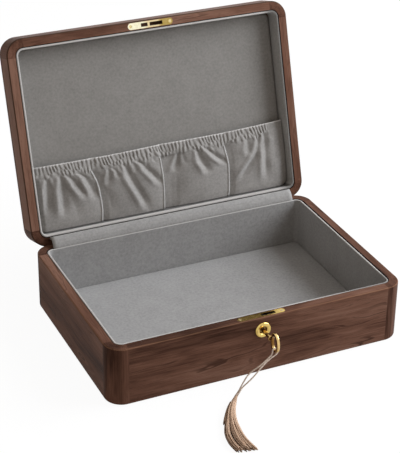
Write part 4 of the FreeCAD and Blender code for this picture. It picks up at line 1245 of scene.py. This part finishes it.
def neck():
    """A core with a thread wound round it from end to end."""
    ends = (Vector(STRING_ROUTE[0]) + Vector(STRING_ROUTE[-1])) / 2 * MM
    ahead = heading_at(0)
    start = ends + ahead * STRING_DIAMETER / 2
    beside = ahead.cross(Vector((0, 0, 1)))
    steps = NECK_TURNS * NECK_STEPS
    core, radii, winding = [], [], []
    for step in range(steps + 1):
        share = step / steps
        here = start + ahead * NECK_LENGTH * share
        radius = NECK_RADII[0] + (NECK_RADII[1] - NECK_RADII[0]) * share
        angle = 2 * math.pi * NECK_TURNS * share
        winding.append(here + (Vector((0, 0, 1)) * math.sin(angle) + beside * math.cos(angle)) * radius)
        if step % NECK_STEPS == 0:
            core.append(here)
            radii.append(radius)
    whipping = sweep(winding, [WHIPPING_RADIUS] * len(winding), WHIPPING_SIDES)
    tubes = [sweep(core, radii, NECK_SIDES), whipping]
    return strands("tassel_binding", tubes, NECK_SHADES, tassel_threads), core[-1]


def skirt(start):
    """Threads gathered in locks, lying on the table from the neck to the tips."""
    chance = random.Random(THREAD_SEED)
    runs = SKIRT_POINTS - 1
    shares = [number / runs for number in range(SKIRT_POINTS)]
    spine = [start.copy()]
    for share in shares[1:]:
        spine.append(spine[-1] + heading_at(share - 0.5 / runs) * SKIRT_LENGTH / runs)
    locks = [2 * (number + 0.5) / LOCKS - 1 for number in range(LOCKS)]
    early, apart, lock_length, lock_shade = SIDE_LOCK
    tubes, shades = [], []
    for thread_number in range(THREADS):
        angle = chance.uniform(0, 2 * math.pi)
        spread = math.sqrt(chance.random())
        side, rise = spread * math.cos(angle), spread * math.sin(angle)
        nearest = min(range(LOCKS), key=lambda number: abs(locks[number] - side))
        lock = locks[nearest]
        length = chance.uniform(*THREAD_LENGTHS)
        length += RIGHT_LONGER * max(side, 0) - LEFT_SHORTER * max(-side, 0)
        # Painted shade on the lower threads and painted light on those to the right
        shade = MIDDLE_SHADE + LOCK_SHADES[nearest % 2] + RISE_PAINTED_SHADE * rise + SIDE_PAINTED_LIGHT * side
        shade += chance.uniform(*SHADE_SPREAD)
        if thread_number < early:
            side = lock = apart + SIDE_LOCK_WIDTH * chance.random()
            length = lock_length * chance.uniform(*SIDE_LOCK_LENGTHS)
            shade = lock_shade + chance.uniform(*SIDE_LOCK_SPREAD)
        sway = chance.uniform(*THREAD_SWAYS) * MM
        beat = chance.uniform(*THREAD_BEATS)
        phase = chance.uniform(*THREAD_PHASES)
        line = []
        for share in shares:
            reach = share * length
            step = min(int(reach * runs), runs - 1)
            here = spine[step].lerp(spine[step + 1], reach * runs - step)
            ahead = heading_at(reach)
            across = Vector((-ahead.y, ahead.x, 0))
            gathered = side + (lock - side) * LOCK_GATHER * smooth_step(reach)
            wide = gathered * np.interp(reach, *zip(*SKIRT_WIDTH)) * SKIRT_HALF_WIDTH
            if side < 0:
                wide *= np.interp(reach, *zip(*SKIRT_LEFT_WIDER))
            high = np.interp(reach, *zip(*SKIRT_HEIGHT)) * SKIRT_HALF_HEIGHT
            place = here + across * (wide + sway * reach * math.sin(beat * 2 * math.pi * reach + phase))
            place.z = SKIRT_CLEAR + THREAD_RADIUS + high * (1 + rise)
            line.append(place)
        tubes.append(sweep(line, [THREAD_RADIUS] * SKIRT_POINTS, THREAD_SIDES))
        shades.append([shade + TIP_SHADE * (share * length) ** 2 for share in shares])
    return strands("tassel_fringe", tubes, shades, tassel_threads)


binding, neck_end = neck()
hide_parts("tassel_neck")
fringe = skirt(neck_end)
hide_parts("tassel_skirt")
